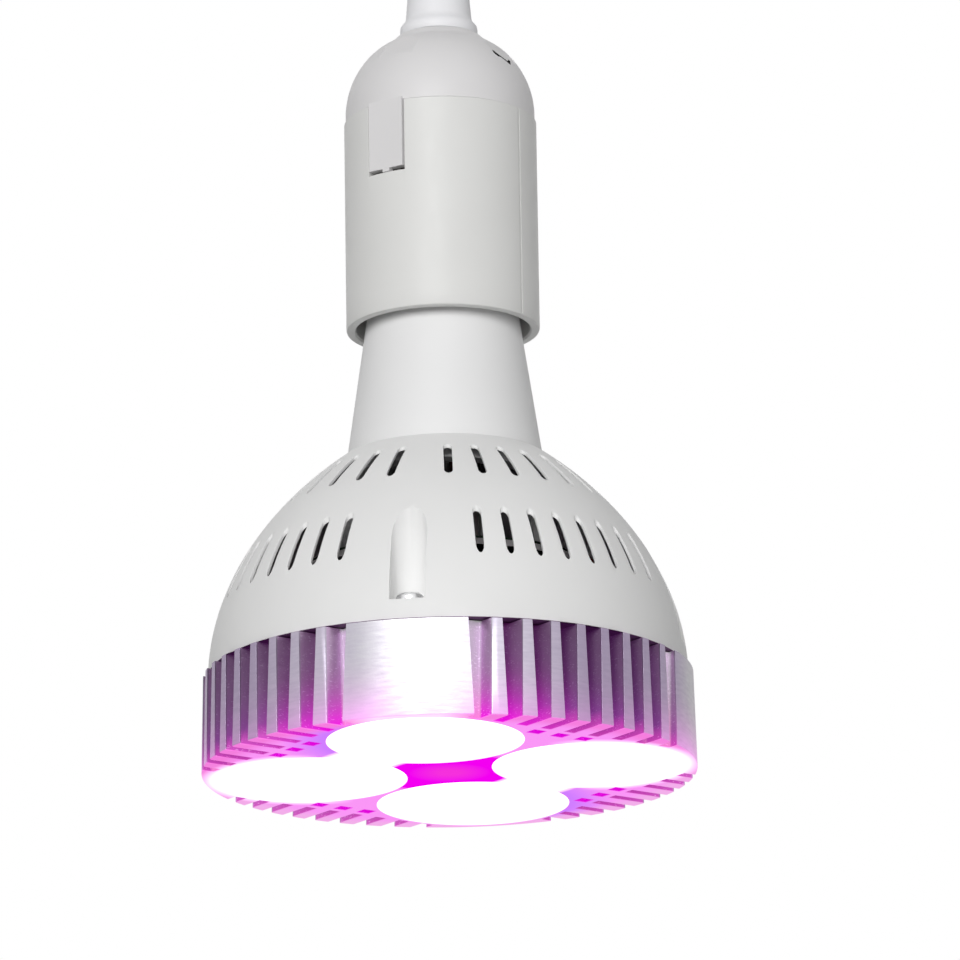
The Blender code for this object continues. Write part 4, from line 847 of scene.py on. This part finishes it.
# Neck. A plain white cone stands in the dome's mouth on a flange and narrows to a shoulder, above
# which a spigot carries the screw cap. Two posts hold the driver board inside.
SPIGOT_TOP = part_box("neck_housing")[1].z
NECK_BASE = (18.9 * MM, 62.7 * MM)   # radius and height where the cone leaves the dome's mouth
NECK_TOP = (14.2 * MM, 94.6 * MM)
NECK_WALL = 1.8 * MM
SPIGOT_RADIUS = 11.2 * MM
DRIVER_SEAT = 39.9 * MM
POST_CIRCLE = 18.2 * MM
POST_RADIUS = 2.6 * MM
POST_HOLE = 1.35 * MM
POST_ANGLES = (math.radians(20.0), math.radians(200.0))
NECK_BOTTOM = 57.0 * MM
FLANGE_RADIUS = 21.0 * MM
FLANGE_TOP = 58.5 * MM
NECK_MOUTH = 17.1 * MM               # the radius inside its lower end
CAP_STEP = 12.4 * MM                 # the radius of the step under the cap's rim


def neck_radius(height):
    slope = (NECK_TOP[0] - NECK_BASE[0]) / (NECK_TOP[1] - NECK_BASE[1])
    return NECK_BASE[0] + slope * (height - NECK_BASE[1])


def mould_neck():
    bore = SPIGOT_RADIUS - NECK_WALL
    shoulder = NECK_TOP[1]
    rings = [(FLANGE_RADIUS, NECK_BOTTOM),
             (FLANGE_RADIUS, FLANGE_TOP),
             (neck_radius(58.9 * MM) - 0.6 * MM, FLANGE_TOP)]
    rings += [(neck_radius(height * MM), height * MM) for height in range(61, 94, 4)]
    rings += [(neck_radius(shoulder - 0.5 * MM), shoulder - 0.5 * MM),
              (NECK_TOP[0] - 0.35 * MM, shoulder),
              (CAP_STEP, shoulder),
              (CAP_STEP, 98.3 * MM),
              (SPIGOT_RADIUS, 99.2 * MM),
              (SPIGOT_RADIUS, SPIGOT_TOP),
              (bore, SPIGOT_TOP),
              (bore, 96.0 * MM),
              (neck_radius(90.0 * MM) - NECK_WALL, 90.0 * MM),
              (NECK_MOUTH, NECK_BASE[1]),
              (NECK_MOUTH, NECK_BOTTOM),
              (FLANGE_RADIUS, NECK_BOTTOM)]
    neck = turn("neck_moulding", rings, 192)
    for angle in POST_ANGLES:
        spot = (POST_CIRCLE * math.cos(angle), POST_CIRCLE * math.sin(angle))
        work(neck, rod("post", spot, POST_RADIUS, DRIVER_SEAT, NECK_BOTTOM + 0.6 * MM, 32), 'UNION')
        work(neck, rod("post_hole", spot, POST_HOLE, DRIVER_SEAT - MM, DRIVER_SEAT + 8.2 * MM, 24))
    return soften(neck, 0.15 * MM, 2, 60.0)


neck_white = moulded_plastic("neck_plastic", (0.85, 0.85, 0.85), 0.50, 0.015)
seat(mould_neck(), neck_white, "bulb", "neck_plastic", "neck_housing")


# Screw cap. Thin nickel-plated brass, rolled to a right-hand knuckle thread. Its top edge closes
# over a black glass insulator, through which the centre contact shows.
cap_low, cap_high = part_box("cap_shell")
THREAD_PITCH = 3.629 * MM
THREAD_MEAN = 12.65 * MM
THREAD_WAVE = 0.5 * MM
THREAD_BOTTOM = 98.6 * MM
THREAD_TOP = 116.0 * MM
THREAD_FADE = 1.0 * MM               # the height over which each end dies away
PLAIN_END = 12.1 * MM
CAP_RIM_RADIUS = 13.1 * MM
CAP_FLANGE = 9.7 * MM
SHEET = 0.35 * MM
RINGS_A_PITCH = 10


def roll_cap():
    """Plain rings, into which the thread is then rolled by moving each vertex in or out."""
    step = THREAD_PITCH / RINGS_A_PITCH
    count = round((THREAD_TOP - THREAD_BOTTOM) / step)
    outside = [(CAP_RIM_RADIUS, cap_low.z), (CAP_RIM_RADIUS, THREAD_BOTTOM - 0.4 * MM)]
    outside += [(THREAD_MEAN, THREAD_BOTTOM + k * step) for k in range(count + 1)]
    outside += [(PLAIN_END, 116.8 * MM),
                (11.6 * MM, 117.4 * MM),
                (11.0 * MM, 117.65 * MM),
                (CAP_FLANGE, cap_high.z)]
    inside = [(radius - SHEET, height) for radius, height in outside[:-3]]
    rings = outside + [(CAP_FLANGE, cap_high.z - SHEET), (11.0 * MM, 117.65 * MM - SHEET)]
    rings += inside[::-1] + [outside[0]]
    shell = turn("cap_thread", rings, 96)
    for vert in shell.data.vertices:
        height = vert.co.z
        if THREAD_BOTTOM - 0.05 * MM < height < THREAD_TOP + 0.05 * MM:
            angle = math.atan2(vert.co.y, vert.co.x)
            wave = THREAD_WAVE * math.cos(2 * math.pi * height / THREAD_PITCH - angle)
            share = min(1.0, (height - THREAD_BOTTOM) / THREAD_FADE, (THREAD_TOP - height) / THREAD_FADE)
            narrower = (THREAD_MEAN - PLAIN_END) * max(0.0, 1.0 - (THREAD_TOP - height) / THREAD_FADE)
            radius = math.hypot(vert.co.x, vert.co.y)
            ratio = (radius + wave * max(share, 0.0) - narrower) / radius
            vert.co.x *= ratio
            vert.co.y *= ratio
    return shell


nickel = plated_metal("nickel_brass", (0.80, 0.77, 0.72), 0.24)
seat(roll_cap(), nickel, "bulb", "nickel_brass", "cap_shell")


# Holder skirt. A semi-gloss white moulding round the cap. It has a slot for the crown's latch, a
# rounded mouth and a faint line where the mould's halves met.
skirt_low, skirt_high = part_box("holder_skirt")
SKIRT_RADIUS = 18.8 * MM
SKIRT_INSIDE = 16.9 * MM
SEAM = skirt_high.z
MOUTH = skirt_low.z
LATCH_ANGLE = math.radians(-115.4)
LATCH_WIDTH = 7.8 * MM
LATCH_SLIT = 0.35 * MM
LATCH_BOTTOM = 116.6 * MM
LATCH_HOOK = 3.6 * MM                # the height of the gap's deeper lower part
SHELF = (117.2 * MM, 118.7 * MM)     # bottom and top of the ledge that the insert stands on
SHELF_RADIUS = 15.0 * MM
PARTING_ANGLES = (math.radians(-26.0), math.radians(154.0))


def mould_skirt():
    rings = [(SKIRT_RADIUS - 0.45 * MM, MOUTH),
             (SKIRT_RADIUS - 0.13 * MM, MOUTH + 0.13 * MM),
             (SKIRT_RADIUS, MOUTH + 0.45 * MM)]
    rings += [(SKIRT_RADIUS, height * MM) for height in range(92, 130, 4)]
    rings += [(SKIRT_RADIUS, SEAM - 0.08 * MM),
              (SKIRT_RADIUS - 0.08 * MM, SEAM),
              (SKIRT_INSIDE, SEAM),
              (SKIRT_INSIDE, SHELF[1]),
              (SHELF_RADIUS, SHELF[1]),
              (SHELF_RADIUS, SHELF[0]),
              (SKIRT_INSIDE, 115.7 * MM),
              (SKIRT_INSIDE, MOUTH + 0.4 * MM),
              (SKIRT_INSIDE + 0.3 * MM, MOUTH),
              (SKIRT_RADIUS - 0.45 * MM, MOUTH)]
    skirt = turn("skirt_moulding", rings, 192)
    half = LATCH_WIDTH / 2 + LATCH_SLIT
    for depth, bottom, top in ((15.6 * MM, LATCH_BOTTOM + LATCH_HOOK, SEAM + 3.0 * MM),
                               (14.4 * MM, LATCH_BOTTOM - 0.85 * MM, LATCH_BOTTOM + LATCH_HOOK)):
        gap = block("latch_gap", (depth, -half, bottom), (22.0 * MM, half, top))
        gap.rotation_euler.z = LATCH_ANGLE
        work(skirt, fix_place(gap))
    line = block("parting_line", (SKIRT_RADIUS - 0.06 * MM, -0.09 * MM, MOUTH - MM),
                 (SKIRT_RADIUS + MM, 0.09 * MM, SEAM + MM))
    work(skirt, round_the_axis(line, PARTING_ANGLES))
    return soften(skirt, 0.12 * MM, 2, 60.0)


holder_white = moulded_plastic("holder_plastic", (0.765, 0.765, 0.75), 0.42, 0.02, 0.03)
seat(mould_skirt(), holder_white, "holder", "holder_plastic", "holder_skirt")


# Holder crown. The domed top clips into the skirt: its tongue fills the skirt's slot and ends in a
# small nub. Two flat lands are cut into the dome below the boot, and one has a slit at its foot.
CROWN_RADIUS = 18.49 * MM
CROWN_RISE = 17.47 * MM
CROWN_CENTRE = 131.8 * MM
CROWN_WALL = 1.9 * MM
CROWN_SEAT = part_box("holder_crown")[1].z
CROWN_HOLE = 5.1 * MM
CROWN_FOOT = 124.5 * MM
SPIGOT_WALL = 1.6 * MM
LAND_FOOT = (15.7 * MM, 140.35 * MM)
LAND_SLOPE = math.radians(38.5)
LAND_WIDTH = 7.6 * MM
LAND_ANGLES = (math.radians(-113.5), math.radians(-23.5))
COLLAR_FOOT = 9.9 * MM
COLLAR_TOP = 8.2 * MM
SLIT_ENDS = (Vector((14.84, -3.42, 141.71)) * MM, Vector((16.45, 0.15, 139.88)) * MM)
SLIT_HALF = (SLIT_ENDS[1] - SLIT_ENDS[0]).length / 2
SLIT_THICK = 1.5 * MM
SLIT_OUTWARD = (0.837, -0.091, 0.541)


def crown_arc(inset, low_radius, high_radius, steps):
    """Points of the half ellipse between two radii, a little lower near the axis."""
    wide = CROWN_RADIUS - inset
    rise = CROWN_RISE - inset
    first = math.acos(min(low_radius / wide, 1.0))
    last = math.acos(high_radius / wide)
    angles = [first + (last - first) * k / steps for k in range(steps + 1)]
    points = [(wide * math.cos(t), CROWN_CENTRE + rise * math.sin(t)) for t in angles]
    return [(radius, height - 0.08 * max(0.0, 14.0 * MM - radius)) for radius, height in points]


def slit_frame():
    """Where the slit's cutter stands: X points out of the skin, Y along the slit, Z across it."""
    along = (SLIT_ENDS[1] - SLIT_ENDS[0]).normalized()
    outward = Vector(SLIT_OUTWARD).normalized()
    across = outward.cross(along).normalized()
    turned = Matrix((outward, along, across)).transposed().to_4x4()
    middle = (SLIT_ENDS[0] + SLIT_ENDS[1]) / 2 - across * 0.05 * MM
    return Matrix.Rotation(LAND_ANGLES[1], 4, 'Z') @ Matrix.Translation(middle) @ turned


def mould_crown():
    spigot = SKIRT_INSIDE - 0.3 * MM
    rings = [(spigot, CROWN_FOOT),
             (spigot, SEAM + 0.1 * MM),
             (CROWN_RADIUS - 0.08 * MM, SEAM + 0.1 * MM),
             (CROWN_RADIUS - 0.01 * MM, SEAM + 0.16 * MM)]
    rings += crown_arc(0.0, CROWN_RADIUS, COLLAR_FOOT, 26)
    rings += [(COLLAR_TOP, CROWN_SEAT), (CROWN_HOLE, CROWN_SEAT), (CROWN_HOLE, 145.6 * MM)]
    rings += crown_arc(CROWN_WALL, CROWN_RADIUS, 7.9 * MM, 14)[::-1]
    rings += [(spigot - SPIGOT_WALL, CROWN_CENTRE - 1.0 * MM),
              (spigot - SPIGOT_WALL, CROWN_FOOT),
              (spigot, CROWN_FOOT)]
    crown = turn("crown_moulding", rings, 192)
    tongue = block("tongue", (17.0 * MM, -LATCH_WIDTH / 2, LATCH_BOTTOM),
                   (SKIRT_RADIUS - 0.15 * MM, LATCH_WIDTH / 2, SEAM + 0.5 * MM))
    nub = block("nub", (17.4 * MM, -0.8 * MM, LATCH_BOTTOM - 0.6 * MM),
                (SKIRT_RADIUS - 0.2 * MM, 0.8 * MM, LATCH_BOTTOM + 1.2 * MM))
    work(tongue, nub, 'UNION')
    tongue.rotation_euler.z = LATCH_ANGLE
    work(crown, fix_place(tongue), 'UNION')
    land = block("land", (0.0, -LAND_WIDTH / 2, 0.0), (3.0 * MM, LAND_WIDTH / 2, 9.0 * MM))
    land.rotation_euler.y = -LAND_SLOPE
    land.location = (LAND_FOOT[0], 0.0, LAND_FOOT[1])
    work(crown, round_the_axis(fix_place(land), LAND_ANGLES))
    slit = block("slit", (-2.4 * MM, -SLIT_HALF, -SLIT_THICK / 2), (1.5 * MM, SLIT_HALF, SLIT_THICK / 2))
    slit.matrix_world = slit_frame()
    work(crown, fix_place(slit))
    return soften(crown, 0.12 * MM, 2, 40.0)


def shaded_slit_walls(tree, x, y, z):
    """1 on the walls of the slit, which lie on the faces of its cutter. They are painted black as the shade
    inside the slit.
    """
    rows = slit_frame().inverted()
    local = [figure(tree, 'MULTIPLY_ADD', x, row[0],
                    figure(tree, 'MULTIPLY_ADD', y, row[1], figure(tree, 'MULTIPLY_ADD', z, row[2], row[3])))
             for row in rows[:3]]
    within = [below(tree, figure(tree, 'ABSOLUTE', place), half + 0.02 * MM, half + 0.07 * MM)
              for place, half in zip(local, (3.0 * MM, SLIT_HALF, SLIT_THICK / 2))]
    return product(tree, *within)


crown_white = moulded_plastic("crown_plastic", (0.765, 0.755, 0.76), 0.44, 0.02, 0.03)
# Painted shade: the slit's walls are painted black.
retint(crown_white, shaded_slit_walls, (0.02, 0.02, 0.02))
seat(mould_crown(), crown_white, "holder", "holder_plastic", "holder_crown")
bpy.ops.object.shade_smooth_by_angle(angle=math.radians(9.0))


# Cord boot. A tapered white sleeve with a flange, seated on the crown and held by its nut. The cord
# goes in at the open top.
boot_low, boot_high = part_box("cord_boot")
BOOT_BORE = 3.1 * MM
BOOT_STEM = 4.7 * MM                 # the radius of the stem, which goes through the crown's hole
BOOT_SEAT = 148.1 * MM


def mould_boot():
    rings = [(BOOT_STEM, boot_low.z),
             (BOOT_STEM, BOOT_SEAT),
             (7.5 * MM, BOOT_SEAT),
             (7.6 * MM, BOOT_SEAT + 0.3 * MM),
             (7.6 * MM, 149.4 * MM),
             (7.5 * MM, 150.0 * MM),
             (7.1 * MM, 150.5 * MM),
             (6.65 * MM, 151.0 * MM),
             (6.45 * MM, 151.8 * MM),
             (6.1 * MM, 155.8 * MM),
             (5.55 * MM, boot_high.z - 1.2 * MM),
             (5.4 * MM, boot_high.z - 0.4 * MM),
             (4.9 * MM, boot_high.z),
             (BOOT_BORE + 0.2 * MM, boot_high.z),
             (BOOT_BORE, boot_high.z - 0.2 * MM),
             (BOOT_BORE, boot_low.z),
             (BOOT_STEM, boot_low.z)]
    return turn("boot_sleeve", rings, 128)


boot_white = moulded_plastic("boot_plastic", (0.88, 0.88, 0.90), 0.48, 0.015)
seat(mould_boot(), boot_white, "boot", "boot_plastic", "cord_boot")


# Inner pieces. Their shapes are those of the frame, and each gets its own finish: black fan, green
# board, sleeved capacitors, ferrite, brass strips, wire sleeves and the holder's white insert.
BOARD_RADIUS = 28.5 * MM
BOARD_TOP = 39.6 * MM
FINISHES = {
    "diode_board": moulded_plastic("diode_board", (0.85, 0.80, 0.86), 0.4),
    "fan_plastic": moulded_plastic("fan_plastic", (0.02, 0.02, 0.022), 0.5, 0.2),
    "board_laminate": moulded_plastic("board_laminate", (0.025, 0.05, 0.032), 0.4, 0.3),
    "capacitor_sleeve": moulded_plastic("capacitor_sleeve", (0.10, 0.09, 0.10), 0.35, 0.15),
    "ferrite": moulded_plastic("ferrite", (0.05, 0.047, 0.043), 0.6, 0.3, 0.2),
    "film_case": moulded_plastic("film_case", (0.55, 0.36, 0.06), 0.45, 0.1),
    "insert_plastic": moulded_plastic("insert_plastic", (0.80, 0.80, 0.78), 0.5, 0.04),
    "insulator": moulded_plastic("insulator", (0.02, 0.02, 0.024), 0.18, 0.2, 0.02),
    "red_wire": moulded_plastic("red_wire", (0.20, 0.012, 0.012), 0.4, 0.1),
    "black_wire": moulded_plastic("black_wire", (0.02, 0.02, 0.02), 0.4, 0.1),
    "bare_brass": plated_metal("bare_brass", (0.80, 0.58, 0.26), 0.3),
    "zinc_steel": zinc,
    "nickel_brass": nickel,
}


def board_edge(tree, x, y, z):
    """1 on the driver board's cut rim, up to the green of its upper side."""
    rim = above(tree, length(tree, x, y), BOARD_RADIUS - 0.5 * MM, BOARD_RADIUS - 0.2 * MM)
    return product(tree, rim, below(tree, z, BOARD_TOP - 0.5 * MM, BOARD_TOP - 0.4 * MM))


retint(FINISHES["board_laminate"], board_edge, (0.95, 0.92, 0.92))
for entry in frame["record"]["subparts"]:
    if entry["material_slot"] in FINISHES:
        inner = nodes[entry["node"]]
        inner.data.materials.clear()
        inner.data.materials.append(FINISHES[entry["material_slot"]])
